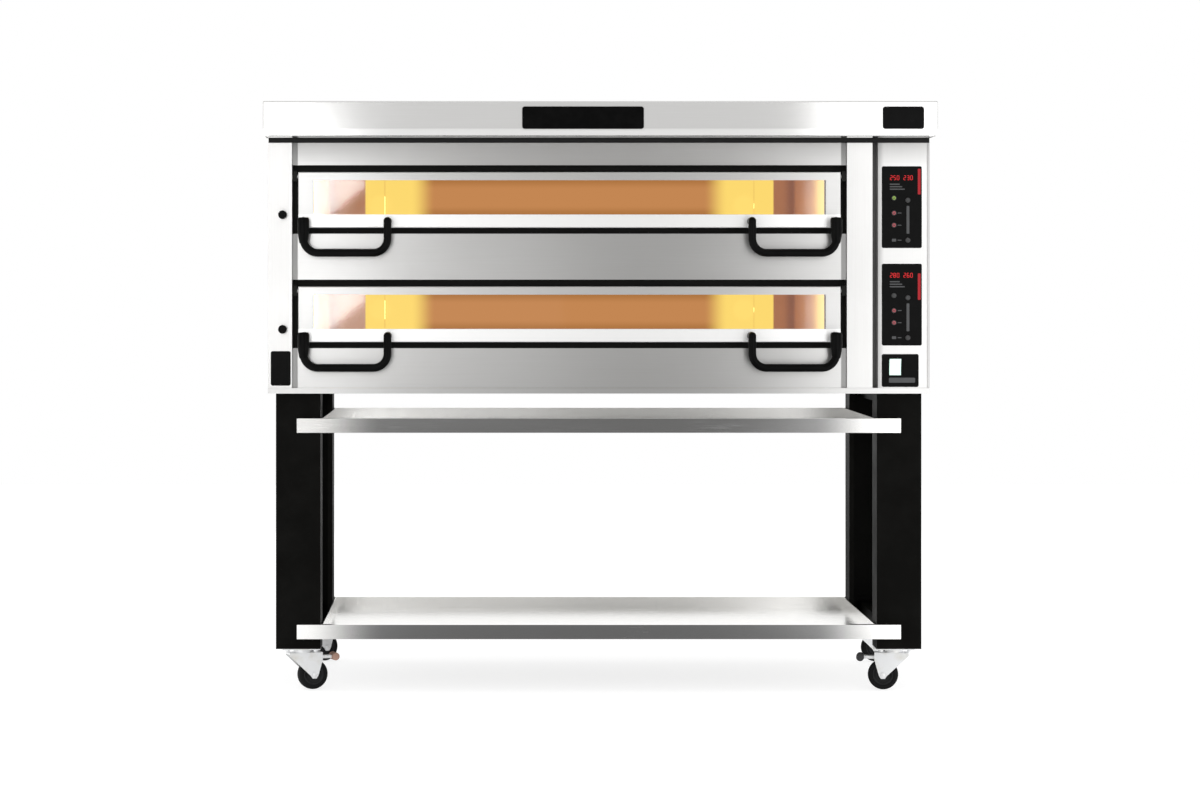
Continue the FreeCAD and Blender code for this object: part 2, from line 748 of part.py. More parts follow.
def front_post_right():
    sub_part("front_post_right", folded(
        "front_post_right", "XY", WALL_BOTTOM, ROOF_UNDER - WALL_BOTTOM, [
            (OPENING_RIGHT, FRONT), (GROOVE_LEFT, FRONT),
            (GROOVE_LEFT, FRONT + d.groove_depth),
            (GROOVE_LEFT - SKIN, FRONT + d.groove_depth), (GROOVE_LEFT - SKIN, FRONT + SKIN),
            (OPENING_RIGHT + SKIN, FRONT + SKIN), (OPENING_RIGHT + SKIN, FRAME_FRONT),
            (OPENING_RIGHT, FRAME_FRONT),
        ]))


def front_panels():
    """The fixed panels above, between and below the doors, stepped back at both ends."""
    levels = {
        "bottom": (WALL_BOTTOM, SILLS["lower"] - d.gap_under),
        "middle": (SILLS["lower"] + d.door_height + d.gap_over, SILLS["upper"] - d.gap_under),
        "top": (SILLS["upper"] + d.door_height + d.gap_over, ROOF_UNDER),
    }
    step = FRONT + d.panel_step
    left_tab = OPENING_LEFT + d.seam_gap
    right_tab = OPENING_RIGHT - d.seam_gap
    panels = [
        folded(f"front_panel_{position}", "XY", low, high - low, [
            (left_tab, step), (DOOR_LEFT, step), (DOOR_LEFT, FRONT), (DOOR_RIGHT, FRONT),
            (DOOR_RIGHT, step), (right_tab, step), (right_tab, step + SKIN),
            (DOOR_RIGHT - SKIN, step + SKIN), (DOOR_RIGHT - SKIN, FRONT + SKIN),
            (DOOR_LEFT + SKIN, FRONT + SKIN), (DOOR_LEFT + SKIN, step + SKIN),
            (left_tab, step + SKIN),
        ])
        for position, (low, high) in levels.items()
    ]
    sub_part("front_panels", group("front_panels", panels))


def front_frame():
    """Heavy face frame behind the doors, with the two chamber mouths."""
    name = "front_frame"
    plate = block(
        f"{name}_plate",
        (OPENING_LEFT - SKIN, GROOVE_LEFT - SKIN),
        (FRAME_FRONT, FRAME_BACK),
        (WALL_BOTTOM, ROOF_UNDER),
    )
    mouths = []
    for level, sill in SILLS.items():
        bottom = sill + d.mouth_lift
        mouths.append(block(
            f"{name}_mouth_{level}",
            (CHAMBER_LEFT, CHAMBER_RIGHT),
            (FRAME_FRONT, FRAME_BACK),
            (bottom, bottom + d.mouth_height),
        ))
    sub_part(name, cut(name, plate, mouths))


def badge_plates():
    """Blank plates: a wide one and a square one on the hood, one on the left post."""
    hood_face = d.lip_proud - d.hood_depth / 2
    middle = d.hood_bottom + d.badge_lift
    post_left = LEFT + d.badge_post_inset
    post_bottom = d.body_bottom + d.badge_post_lift
    spans = {
        # plate: left to right, outer face, bottom to top
        "wide": (
            (d.badge_wide_centre - d.badge_wide / 2, d.badge_wide_centre + d.badge_wide / 2),
            hood_face, (middle - d.badge_height / 2, middle + d.badge_height / 2),
        ),
        "hood": (
            (d.badge_hood_left, d.badge_hood_left + d.badge_hood),
            hood_face, (middle - d.badge_height / 2, middle + d.badge_height / 2),
        ),
        "post": (
            (post_left, post_left + d.badge_post),
            FRONT, (post_bottom, post_bottom + d.badge_post_height),
        ),
    }
    plates = [
        block(f"badge_{name}", x, (face - SKIN, face), z)
        for name, (x, face, z) in spans.items()
    ]
    sub_part("badge_plates", group("badge_plates", plates))


# ---------------------------------------------------------------- decks
def chamber_liner(level, sill):
    """Steel lining of one baking chamber, open at the front, with hearth bearers."""
    name = f"chamber_{level}"
    bottom = sill + d.mouth_lift - d.liner_drop
    top = bottom + d.liner_height
    outer = block(
        f"{name}_outer",
        (CHAMBER_LEFT - SKIN, CHAMBER_RIGHT + SKIN),
        (FRAME_BACK, CHAMBER_BACK + SKIN),
        (bottom, top),
    )
    inner = block(
        f"{name}_inner",
        (CHAMBER_LEFT, CHAMBER_RIGHT),
        (FRAME_BACK, CHAMBER_BACK),
        (bottom + SKIN, top - SKIN),
    )
    vent_y = VENT_CENTRE
    vent_z = sill + d.pull_height + d.vent_rise
    vent_start = (CHAMBER_LEFT - SKIN - 1, vent_y, vent_z)
    holes = [cylinder(f"{name}_vent", d.vent_radius, vent_start, SKIN + 2, "X")]
    hole_radius = d.element_radius + 1
    for leg_x in element_legs():
        for rise in (d.element_low, d.element_high):
            start = (leg_x, CHAMBER_BACK - 1, bottom + rise)
            hole_name = f"{name}_lead_{len(holes)}"
            holes.append(cylinder(hole_name, hole_radius, start, SKIN + 2, "Y"))
    shell = cut(f"{name}_shell", outer, [inner] + holes)
    bearer_top = sill + d.mouth_lift - d.hearth_thick
    pieces = [shell]
    for depth in (FRAME_BACK + d.slot_width, CHAMBER_BACK - d.slot_width):
        pieces.append(block(
            f"{name}_bearer_{len(pieces)}",
            (CHAMBER_LEFT, CHAMBER_RIGHT),
            (depth - d.bearer_width / 2, depth + d.bearer_width / 2),
            (bearer_top - 5, bearer_top),
        ))
    return fuse(name, pieces)


def slab_width():
    return d.window_width / HEARTH_SLABS


def slab_centres():
    width = slab_width()
    return [CHAMBER_LEFT + width * (index + 0.5) for index in range(HEARTH_SLABS)]


def element_legs():
    """The X of each straight run of the heating loops, one loop over each slab."""
    legs = []
    for centre in slab_centres():
        legs += [centre - d.element_loop, centre + d.element_loop]
    return legs


def hearth_stones():
    slabs = []
    for level, sill in SILLS.items():
        top = sill + d.mouth_lift
        for centre in slab_centres():
            half = slab_width() / 2 - d.hearth_gap / 2
            slabs.append(block(
                f"hearth_{level}_{len(slabs) + 1}",
                (centre - half, centre + half),
                (FRAME_BACK + d.hearth_gap, CHAMBER_BACK - d.hearth_gap),
                (top - d.hearth_thick, top),
            ))
    sub_part("hearth_stones", group("hearth_stones", slabs))


def heating_loop(name, centre, level):
    """A hairpin element whose two ends pass out through the chamber's back."""
    bend_y = FRAME_BACK + d.element_loop * 1.5
    length = CHAMBER_BACK + d.fold_depth - bend_y
    legs = [
        cylinder(f"{name}_leg_{index}", d.element_radius,
                 (centre + side * d.element_loop, bend_y, level), length, "Y")
        for index, side in enumerate((-1, 1))
    ]
    bend = doc.addObject("Part::Torus", f"{name}_bend")
    bind(bend, Radius1=d.element_loop, Radius2=d.element_radius)
    bend.Angle3 = 180
    bend.Placement = Placement(Vector(), Rotation(Vector(0, 0, 1), 180))
    place(bend, centre, bend_y, level)
    return fuse(name, legs + [bend])


def heating_elements():
    loops = []
    for level, sill in SILLS.items():
        bottom = sill + d.mouth_lift - d.liner_drop
        for rise in (d.element_low, d.element_high):
            for centre in slab_centres():
                name = f"element_{level}_{len(loops) + 1}"
                loops.append(heating_loop(name, centre, bottom + rise))
    sub_part("heating_elements", group("heating_elements", loops))


def chamber_lamps():
    """Domed lamp glasses on the back wall, two in each chamber."""
    lamps = []
    radius = d.lamp_radius
    for level, sill in SILLS.items():
        for side in (-1, 1):
            lamp = turned(f"lamp_{level}_{len(lamps) + 1}", [
                (size(0), size(0)), (radius, size(0)), (radius, size(5)),
                (radius * 0.8, size(10)), (radius * 0.45, size(14)), (size(0), size(15)),
            ])
            lamp.Placement = Placement(Vector(), Rotation(Vector(1, 0, 0), 90))
            centre = d.deck_centre + side * d.lamp_spread
            place(lamp, centre, CHAMBER_BACK, sill + d.window_lift + d.window_height / 2)
            lamps.append(lamp)
    sub_part("chamber_lamps", group("chamber_lamps", lamps))


def insulation():
    """Mineral-wool slabs round both chambers."""
    low_liner = SILLS["lower"] + d.mouth_lift - d.liner_drop
    high_liner = SILLS["upper"] + d.mouth_lift - d.liner_drop
    left = CHAMBER_LEFT - SKIN
    right = CHAMBER_RIGHT + SKIN
    rear = CHAMBER_BACK + SKIN
    depth = (FRAME_BACK, rear)
    wide = (left, right)
    full = (low_liner, high_liner + d.liner_height)
    slabs = [
        block("wool_base", wide, depth, (d.body_bottom + d.heavy_sheet, low_liner)),
        block("wool_middle", wide, depth, (low_liner + d.liner_height, high_liner)),
        block("wool_top", wide, depth, (full[1], ROOF_UNDER)),
        block("wool_right", (right, right + d.insulation_side), depth, full),
    ]
    side = block("wool_left_slab", (left - d.insulation_side, left), depth, full)
    vents = [
        cylinder(f"wool_vent_{level}", d.vent_radius,
                 (left - d.insulation_side - 1, VENT_CENTRE,
                  sill + d.pull_height + d.vent_rise),
                 d.insulation_side + 2, "X")
        for level, sill in SILLS.items()
    ]
    slabs.append(cut("wool_left", side, vents))
    sub_part("insulation", group("insulation", slabs))


def vent_duct():
    """Steam duct beside the chambers, with one inlet for each and slots for the rods."""
    name = "vent_duct"
    inner_face = CHAMBER_LEFT - SKIN - d.insulation_side
    x = (inner_face - d.duct_width, inner_face)
    y = (BACK - d.duct_depth - d.fold_depth, BACK - d.fold_depth)
    z = (d.lower_sill, ROOF_UNDER)
    wall = SKIN
    outer = block(f"{name}_outer", x, y, z)
    hollow = block(
        f"{name}_hollow", (x[0] + wall, x[1] - wall), (y[0] + wall, y[1] - wall), z)
    tools = [hollow]
    for level, sill in SILLS.items():
        height = sill + d.pull_height
        tools.append(cylinder(f"{name}_inlet_{level}", d.vent_radius,
                              (x[1] - wall - 1, VENT_CENTRE, height + d.vent_rise),
                              wall + 2, "X"))
        tools.append(cylinder(f"{name}_rod_hole_{level}", d.rod_radius + 1,
                              (-d.pull_side, y[0] - 1, height), wall + 2, "Y"))
    sub_part(name, cut(name, outer, tools))


def damper(level, sill):
    """Pull knob, rod and the flat plate that shuts the steam outlet."""
    name = f"damper_{level}"
    height = sill + d.pull_height
    knob = turned(f"{name}_knob", [
        (size(0), size(0)), (d.knob_radius * 0.55, size(0)),
        (d.knob_radius * 0.6, d.knob_length * 0.3),
        (d.knob_radius, d.knob_length * 0.5), (d.knob_radius, d.knob_length * 0.85),
        (d.knob_radius * 0.8, d.knob_length), (size(0), d.knob_length),
    ])
    knob.Placement = Placement(Vector(), Rotation(Vector(1, 0, 0), 90))
    stand_off = FRONT - 3
    place(knob, -d.pull_side, stand_off, height)
    inner = CHAMBER_LEFT - SKIN - d.insulation_side - SKIN
    plate_half = d.vent_radius + d.fold_depth / 3
    plate_x = (inner - 3, inner - 1)
    start = VENT_CENTRE - plate_half
    plate_y = (start, VENT_CENTRE + plate_half)
    rod = cylinder(f"{name}_rod", d.rod_radius, (-d.pull_side, stand_off, height),
                   start + 12 - stand_off, "Y")
    plate = block(f"{name}_plate", plate_x, plate_y,
                  (height - 8, height + d.vent_rise + plate_half))
    arm = block(f"{name}_arm", (-d.pull_side, plate_x[1]), (start + 2, start + 10),
                (height - 3, height + 3))
    sub_part(name, fuse(name, [knob, rod, plate, arm]))


def hinge_brackets():
    """Four bored blocks on the face frame that carry the door pins."""
    blocks = []
    half = d.bracket_size
    pin_y = FRONT + d.door_thick / 2
    ends = {
        "left": (OPENING_LEFT + 1, DOOR_LEFT - 3.5),
        "right": (DOOR_RIGHT + 3.5, OPENING_RIGHT - 1),
    }
    for level, sill in SILLS.items():
        pin_z = sill + d.door_height - d.hinge_drop
        for end, x in ends.items():
            name = f"hinge_{level}_{end}"
            solid = block(f"{name}_block", x, (pin_y - half, FRAME_FRONT),
                          (pin_z - half, pin_z + half))
            bore = cylinder(f"{name}_bore", d.pin_radius + d.bearing_play,
                            (x[0] - 1, pin_y, pin_z), x[1] - x[0] + 2, "X")
            blocks.append(cut(name, solid, [bore]))
    sub_part("hinge_brackets", group("hinge_brackets", blocks))


def door_frame(level, sill):
    """Folded door frame with its window, glass seat and two hinge pins."""
    name = f"door_frame_{level}"
    body = doc.addObject("PartDesign::Body", name)
    top = sill + d.door_height
    x = (DOOR_LEFT, DOOR_RIGHT)
    z = (sill, top)
    window_x = (CHAMBER_LEFT, CHAMBER_RIGHT)
    window_z = (sill + d.window_lift, sill + d.window_lift + d.window_height)
    rear = FRONT + d.door_thick
    face = new_sketch(body, "XZ", f"{name}_face", rear)
    rectangle(face, x, z)
    pad(body, face, d.door_thick)

    def front_rim(edge):
        return edge.BoundBox.YMax < FRONT.value + 0.1

    round_edges(body, size(3), front_rim)
    wall = d.door_wall
    opening = new_sketch(body, "XZ", f"{name}_window", FRONT)
    rectangle(opening, window_x, window_z)
    pocket(body, opening, d.door_thick)
    seat = new_sketch(body, "XZ", f"{name}_seat", FRONT + d.glass_inset)
    lap = d.glass_lap
    rectangle(
        seat,
        (window_x[0] - lap, window_x[1] + lap),
        (window_z[0] - lap, window_z[1] + lap),
    )
    pocket(body, seat, d.door_thick - d.glass_inset)
    hollow = new_sketch(body, "XZ", f"{name}_hollow", FRONT + wall + 2)
    edge = lap + wall
    rectangle(hollow, (x[0] + wall, x[1] - wall), (z[0] + wall, z[1] - wall))
    rectangle(
        hollow,
        (window_x[0] - edge, window_x[1] + edge),
        (window_z[0] - edge, window_z[1] + edge),
    )
    pocket(body, hollow, d.door_thick - wall - 2)
    pin_y = FRONT + d.door_thick / 2
    pin_z = top - d.hinge_drop
    pin_length = d.side_gap - 2
    for side, start in (("left", x[0] - pin_length), ("right", x[1] - wall)):
        pin = new_sketch(body, "YZ", f"{name}_pin_{side}", start)
        circle(pin, d.pin_radius, pin_y, pin_z)
        pad(body, pin, pin_length + wall)
    sub_part(name, body)


def door_glass(level, sill):
    """Three panes of heat-proof glass side by side in the door's seat."""
    lap = d.glass_lap - 0.5
    z = (sill + d.window_lift - lap, sill + d.window_lift + d.window_height + lap)
    y = (FRONT + d.glass_inset, FRONT + d.glass_inset + d.glass_thick)
    joint = d.pane_joint
    seam = 0.5
    spans = [
        (CHAMBER_LEFT - lap, d.deck_centre - joint - seam),
        (d.deck_centre - joint + seam, d.deck_centre + joint - seam),
        (d.deck_centre + joint + seam, CHAMBER_RIGHT + lap),
    ]
    panes = [
        block(f"pane_{level}_{index}", x, y, z) for index, x in enumerate(spans, start=1)
    ]
    sub_part(f"door_glass_{level}", group(f"door_glass_{level}", panes))


def handle_bail(name, centre, foot_z):
    """U-shaped tube handle hanging from two feet on the door's lower border."""
    body = doc.addObject("PartDesign::Body", name)
    plane_y = FRONT - d.handle_reach
    bend = d.handle_bend
    half = d.handle_half
    drop = d.handle_drop
    path = new_sketch(body, "XZ", f"{name}_path", plane_y)
    left = (centre - half).value
    right = (centre + half).value
    top = foot_z.value
    low = top - drop.value
    radius = bend.value
    corner_left = Vector(left + radius, low + radius, 0)
    corner_right = Vector(right - radius, low + radius, 0)
    up = Vector(0, 0, 1)
    quarter = math.pi / 2
    pieces = [
        Part.LineSegment(Vector(left, top, 0), Vector(left, low + radius, 0)),
        Part.ArcOfCircle(Part.Circle(corner_left, up, radius), 2 * quarter, 3 * quarter),
        Part.LineSegment(Vector(left + radius, low, 0), Vector(right - radius, low, 0)),
        Part.ArcOfCircle(Part.Circle(corner_right, up, radius), 3 * quarter, 4 * quarter),
        Part.LineSegment(Vector(right, low + radius, 0), Vector(right, top, 0)),
    ]
    for piece in pieces:
        path.addGeometry(piece)
    for first, second in ((0, 1), (1, 2), (2, 3), (3, 4)):
        path.addConstraint(Sketcher.Constraint("Coincident", first, 2, second, 1))
    for arc in (1, 3):
        rule = path.addConstraint(Sketcher.Constraint("Radius", arc, radius))
        path.setExpression(f"Constraints[{rule}]", bend.text)
    for line, x_start, z_start, x_end, z_end in (
        (0, centre - half, foot_z, centre - half, foot_z - drop + bend),
        (2, centre - half + bend, foot_z - drop, centre + half - bend, foot_z - drop),
        (4, centre + half, foot_z - drop + bend, centre + half, foot_z),
    ):
        fix_point(path, line, 1, x_start, z_start)
        fix_point(path, line, 2, x_end, z_end)
    ring = new_sketch(body, "XY", f"{name}_ring", foot_z)
    circle(ring, d.handle_radius, centre - half, plane_y)
    doc.recompute()
    tube = body.newObject("PartDesign::AdditivePipe", f"{name}_tube")
    tube.Profile = ring
    tube.Spine = path
    tube.Mode = "Frenet"
    for side, x in (("left", centre - half), ("right", centre + half)):
        foot = new_sketch(body, "XZ", f"{name}_foot_{side}", FRONT)
        circle(foot, d.handle_radius, x, foot_z)
        pad(body, foot, d.handle_reach)
        elbow = body.newObject("PartDesign::AdditiveSphere", f"{name}_elbow_{side}")
        bind(elbow, Radius=d.handle_radius)
        elbow.Placement = Placement(Vector(x.value, plane_y.value, foot_z.value), Rotation())
        place(elbow, x, plane_y, foot_z)
    return body


def door_handles(level, sill):
    bails = [
        handle_bail(f"handle_{level}_{side_name}",
                    d.deck_centre + side * d.handle_offset, sill + d.handle_foot)
        for side_name, side in (("left", -1), ("right", 1))
    ]
    sub_part(f"door_handles_{level}", group(f"door_handles_{level}", bails))


# ---------------------------------------------------------------- controls
PANEL_BOTTOMS = {"lower": d.panel_bottom, "upper": d.panel_bottom + d.panel_pitch}
KEYS = {
    # function: side of the panel's centre line, height above its bottom edge
    "power": ("left", 140), "top_heat": ("left", 98), "floor_heat": ("left", 64),
    "raise": ("right", 134), "lower": ("right", 22),
}
KEY_OFFSETS = {"left": d.key_left, "right": d.key_right}


def control_column():
    """Folded column right of the doors, cut out for the panels and the switch."""
    name = "control_column"
    floor = FRONT + d.groove_depth
    body = folded(name, "XY", WALL_BOTTOM, ROOF_UNDER - WALL_BOTTOM, [
        (GROOVE_LEFT + d.seam_gap, floor), (COLUMN_LEFT, floor), (COLUMN_LEFT, FRONT),
        (RIGHT, FRONT), (RIGHT, FRONT + d.fold_depth), (RIGHT - SKIN, FRONT + d.fold_depth),
        (RIGHT - SKIN, FRONT + SKIN), (COLUMN_LEFT + SKIN, FRONT + SKIN),
        (COLUMN_LEFT + SKIN, floor + SKIN), (GROOVE_LEFT + d.seam_gap, floor + SKIN),
    ])
    doc.recompute()

    def corner(radius_of_corner, x, y):
        def chosen(edge):
            box = edge.BoundBox
            upright = runs_along(edge, Vector(0, 0, 1))
            return upright and abs(box.XMin - x) < 0.01 and abs(box.YMin - y) < 0.01
        round_edges(body, radius_of_corner, chosen)

    corner(d.edge_radius, RIGHT.value, FRONT.value)
    corner(d.edge_radius - SKIN, (RIGHT - SKIN).value, (FRONT + SKIN).value)
    holes = new_sketch(body, "XZ", f"{name}_cutouts", FRONT)
    inset = d.panel_lap - 0.5
    half = d.panel_width / 2 - inset
    for bottom in PANEL_BOTTOMS.values():
        rectangle(
            holes,
            (d.panel_centre - half, d.panel_centre + half),
            (bottom + inset, bottom + d.panel_height - inset),
        )
    rectangle(
        holes,
        (SWITCH_LEFT + inset, SWITCH_LEFT + d.switch_width - inset),
        (d.switch_bottom + inset, d.switch_bottom + d.switch_height - inset),
    )
    pocket(body, holes, SKIN)
    sub_part(name, body)


def bezel(name, x, z, proud):
    """A moulded front plate with a body that drops into the column's cut-out."""
    body = doc.addObject("PartDesign::Body", name)
    plate = new_sketch(body, "XZ", f"{name}_plate", FRONT)
    rectangle(plate, x, z)
    pad(body, plate, proud)

    def corner_edge(edge):
        return runs_along(edge, Vector(0, 1, 0))

    def front_edge(edge):
        return edge.BoundBox.YMax < (FRONT - proud).value + 0.01

    round_edges(body, d.panel_corner, corner_edge)
    round_edges(body, size(1), front_edge)
    lap = d.panel_lap
    core = new_sketch(body, "XZ", f"{name}_core", FRONT + d.panel_body)
    rectangle(core, (x[0] + lap, x[1] - lap), (z[0] + lap, z[1] - lap))
    pad(body, core, d.panel_body)
    return body


def key_centres(level):
    """Where each key of one panel sits, by name."""
    bottom = PANEL_BOTTOMS[level]
    return {
        key: (d.panel_centre + KEY_OFFSETS[side], bottom + rise)
        for key, (side, rise) in KEYS.items()
    }


def control_panels():
    """One moulded panel for each deck, bored for its five keys."""
    panels = []
    half = d.panel_width / 2
    for level, bottom in PANEL_BOTTOMS.items():
        name = f"control_panel_{level}"
        x = (d.panel_centre - half, d.panel_centre + half)
        body = bezel(name, x, (bottom, bottom + d.panel_height), d.panel_proud)
        holes = new_sketch(body, "XZ", f"{name}_holes", FRONT - d.panel_proud)
        for u, v in key_centres(level).values():
            circle(holes, d.key_radius + d.key_play, u, v)
        pocket(body, holes, d.panel_proud + d.panel_body)
        panels.append(body)
    sub_part("control_panels", group("control_panels", panels))


def keys():
    """Round push keys with a slightly domed face."""
    for level in PANEL_BOTTOMS:
        for key, (x, z) in key_centres(level).items():
            name = f"key_{level}_{key}"
            radius = d.key_radius
            depth = d.key_length
            body = turned(name, [
                (size(0), size(0)), (radius, size(0)), (radius, depth - 1),
                (radius - 1, depth), (size(0), depth),
            ])
            body.Placement = Placement(Vector(), Rotation(Vector(1, 0, 0), 90))
            place(body, x, FRONT - d.panel_proud - d.key_proud + depth, z)
            sub_part(name, body)


def switch_plate():
    """Moulded plate for the main switch, with a blank cover beside it."""
    name = "switch_plate"
    x = (SWITCH_LEFT, SWITCH_LEFT + d.switch_width)
    z = (d.switch_bottom, d.switch_bottom + d.switch_height)
    body = bezel(name, x, z, d.panel_proud + 1)
    hole = new_sketch(body, "XZ", f"{name}_hole", FRONT - d.panel_proud - 1)
    half_x = d.rocker_width / 2 + d.rocker_play
    half_z = d.rocker_height / 2 + d.rocker_play * 2
    rectangle(hole, (ROCKER_X - half_x, ROCKER_X + half_x), (ROCKER_Z - half_z, ROCKER_Z + half_z))
    pocket(body, hole, d.panel_proud + 1 + d.panel_body)
    pivot_reach = d.rocker_width / 2 + d.rocker_pin_reach + d.rocker_play
    pivot = new_sketch(body, "YZ", f"{name}_pivot", ROCKER_X + pivot_reach)
    circle(pivot, d.rocker_pin + d.bearing_play, FRONT, ROCKER_Z)
    pocket(body, pivot, pivot_reach * 2)
    cover = new_sketch(body, "XZ", f"{name}_cover", FRONT - d.panel_proud - 1)
    rectangle(cover, (x[1] - 42, x[1] - 8), (ROCKER_Z - half_z, ROCKER_Z + half_z))
    pad(body, cover, size(2))
    sub_part(name, body)


def rocker_switch():
    """Rocker with two flat halves, resting in its on position."""
    name = "rocker_switch"
    body = doc.addObject("PartDesign::Body", name)
    half = d.rocker_height / 2
    section = new_sketch(body, "YZ", f"{name}_section", -d.rocker_width / 2)
    outline(section, [
        (size(-7), -half), (size(-3.5), size(0)), (size(-7), half),
        (size(2), half - 4), (size(4), size(0)), (size(2), 4 - half),
    ])
    pad(body, section, d.rocker_width)
    pivot_reach = d.rocker_width / 2 + d.rocker_pin_reach
    pivot = new_sketch(body, "YZ", f"{name}_pivot", -pivot_reach)
    circle(pivot, d.rocker_pin)
    pad(body, pivot, pivot_reach * 2)
    turn = Rotation(Vector(1, 0, 0), d.rocker_tilt.value)
    body.Placement = Placement(Vector(), turn)
    place(body, ROCKER_X, FRONT, ROCKER_Z)
    sub_part(name, body)


def electrics():
    """Mounting plate in the column with contactors, relays and a terminal block."""
    left = GROOVE_LEFT + 20
    plate_x = (left, left + SKIN * 2)
    y = (FRONT + 80, BACK - 120)
    plate = block("electrics_plate", plate_x, y, (WALL_BOTTOM + 40, ROOF_UNDER - 60))
    face = plate_x[1]
    device_y, device_z = size(90), size(85)
    row_pitch, column_pitch = size(150), size(200)
    column_depths = (size(70), size(70), size(45))
    pieces = [plate]
    for row in range(4):
        low = WALL_BOTTOM + 90 + row * row_pitch
        for column, depth in enumerate(column_depths):
            near = y[0] + 60 + column * column_pitch
            pieces.append(block(
                f"electrics_{row}_{column}",
                (face, face + depth),
                (near, near + device_y),
                (low, low + device_z),
            ))
    sub_part("electrics", fuse("electrics", pieces))


def cable_gland():
    """Screwed gland for the supply cable, low on the back."""
    bore = d.gland_bore
    outer = d.gland_radius
    gland = turned("cable_gland", [
        (bore, -SKIN * 8), (bore + 6, -SKIN * 8), (bore + 6, size(0)), (outer, size(0)),
        (outer, size(8)), (outer - 3, size(9)), (outer - 3, d.gland_length - 3),
        (outer - 6, d.gland_length), (bore, d.gland_length),
    ])
    gland.Placement = Placement(Vector(), Rotation(Vector(1, 0, 0), -90))
    place(gland, d.gland_side, BACK, d.gland_level)
    sub_part("cable_gland", gland)


# ---------------------------------------------------------------- the whole oven
def build():
    for side, sign in (("left", -1), ("right", 1)):
        stand_side(side, sign * d.leg_centre)
    shelf("upper", d.upper_shelf_top)
    shelf("lower", d.lower_shelf_top)
    casters()
    base_pan()
    side_casing("left", LEFT, 1)
    side_casing("right", RIGHT, -1)
    rear_casing()
    top_cover()
    hood_shell()
    hood_soffit()
    flue_collar()
    front_post_left()
    front_post_right()
    front_panels()
    front_frame()
    badge_plates()
    liners = [chamber_liner(level, sill) for level, sill in SILLS.items()]
    sub_part("chamber_liners", group("chamber_liners", liners))
    hearth_stones()
    heating_elements()
    chamber_lamps()
    insulation()
    vent_duct()
    hinge_brackets()
    for level, sill in SILLS.items():
        damper(level, sill)
        door_frame(level, sill)
        door_glass(level, sill)
        door_handles(level, sill)
    control_column()
    control_panels()
    keys()
    switch_plate()
    rocker_switch()
    electrics()
    cable_gland()
    doc.recompute()


def check():
    """Stop on any failed object or broken shape before anything is written."""
    for thing in doc.Objects:
        if "Invalid" in thing.State or "Error" in thing.State:
            raise RuntimeError(f"{thing.Name} failed: {thing.State}")
    for name, thing in sub_parts.items():
        shape = thing.Shape
        if shape.isNull() or not shape.isValid() or not shape.Solids:
            raise RuntimeError(f"{name} has no valid solid")


def export():
    os.makedirs("parts", exist_ok=True)
    for name, thing in sub_parts.items():
        thing.Shape.exportStep(f"parts/{name}.step")
    print(len(sub_parts), "sub-parts written")


build()
check()
export()
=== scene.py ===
"""Looks of a two-deck electric pizza oven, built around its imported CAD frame."""
import json
import math

import bmesh
import bpy
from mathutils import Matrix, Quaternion, Vector


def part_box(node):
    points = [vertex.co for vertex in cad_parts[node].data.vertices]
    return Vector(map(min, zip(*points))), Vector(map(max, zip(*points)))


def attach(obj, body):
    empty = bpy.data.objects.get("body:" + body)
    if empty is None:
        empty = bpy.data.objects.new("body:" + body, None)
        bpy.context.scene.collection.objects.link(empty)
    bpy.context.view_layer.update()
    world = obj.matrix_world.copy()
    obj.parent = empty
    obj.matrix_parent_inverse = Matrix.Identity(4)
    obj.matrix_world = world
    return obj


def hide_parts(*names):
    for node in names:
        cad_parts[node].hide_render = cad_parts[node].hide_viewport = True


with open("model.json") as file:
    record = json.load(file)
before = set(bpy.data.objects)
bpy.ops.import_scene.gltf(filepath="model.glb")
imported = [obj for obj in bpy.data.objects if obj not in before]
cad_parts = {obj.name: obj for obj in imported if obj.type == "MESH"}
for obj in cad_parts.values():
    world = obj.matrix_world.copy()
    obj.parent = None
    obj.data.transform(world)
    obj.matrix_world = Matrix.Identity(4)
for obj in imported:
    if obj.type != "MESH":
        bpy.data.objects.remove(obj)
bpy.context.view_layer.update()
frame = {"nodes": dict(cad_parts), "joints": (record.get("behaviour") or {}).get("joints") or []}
nodes = frame["nodes"]
joints = {joint["name"]: joint for joint in frame["joints"]}

# ---------------------------------------------------------------- places
DECKS = ("lower", "upper")
CORNERS = ("front_left", "front_right", "rear_left", "rear_right")
PAN_LOW, PAN_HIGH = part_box("base_pan")
FRONT = PAN_LOW.y
BACK = PAN_HIGH.y
BODY_LEFT = PAN_LOW.x
BODY_RIGHT = PAN_HIGH.x
BODY_BOTTOM = PAN_LOW.z
HOOD_LOW, HOOD_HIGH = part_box("hood_shell")
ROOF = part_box("top_cover")[1].z
DOOR_BOXES = {level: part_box(f"door_frame_{level}") for level in DECKS}
GLASS_BOXES = {level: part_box(f"door_glass_{level}") for level in DECKS}
GLASS_LAP = 0.0045  # a door frame's overlap on its pane
WINDOW_LEFT = GLASS_BOXES["upper"][0].x + GLASS_LAP
WINDOW_RIGHT = GLASS_BOXES["upper"][1].x - GLASS_LAP
WINDOW_HALF = (WINDOW_RIGHT - WINDOW_LEFT) / 2
WINDOW_MIDDLES = [(low.z + high.z) / 2 for low, high in GLASS_BOXES.values()]
DECK_CENTRE = (WINDOW_LEFT + WINDOW_RIGHT) / 2
PANEL_HALF = 0.760  # half the width of a door
COLUMN_LOW, COLUMN_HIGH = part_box("control_column")
GROOVE_RIGHT = COLUMN_LOW.x + 0.015
SHELF_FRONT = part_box("shelf_upper")[0].y
GLOW_EDGE = 0.571  # half the width of the painted glow on a pane
GLOW_FADE = 0.375  # where the glow's amber starts to turn yellow, from the centre
TUBE_RADIUS = 0.011  # of a door handle
LIP_HIGHLIGHT_DROP = 0.0665  # from a window's middle down to the painted highlight on the edge below it
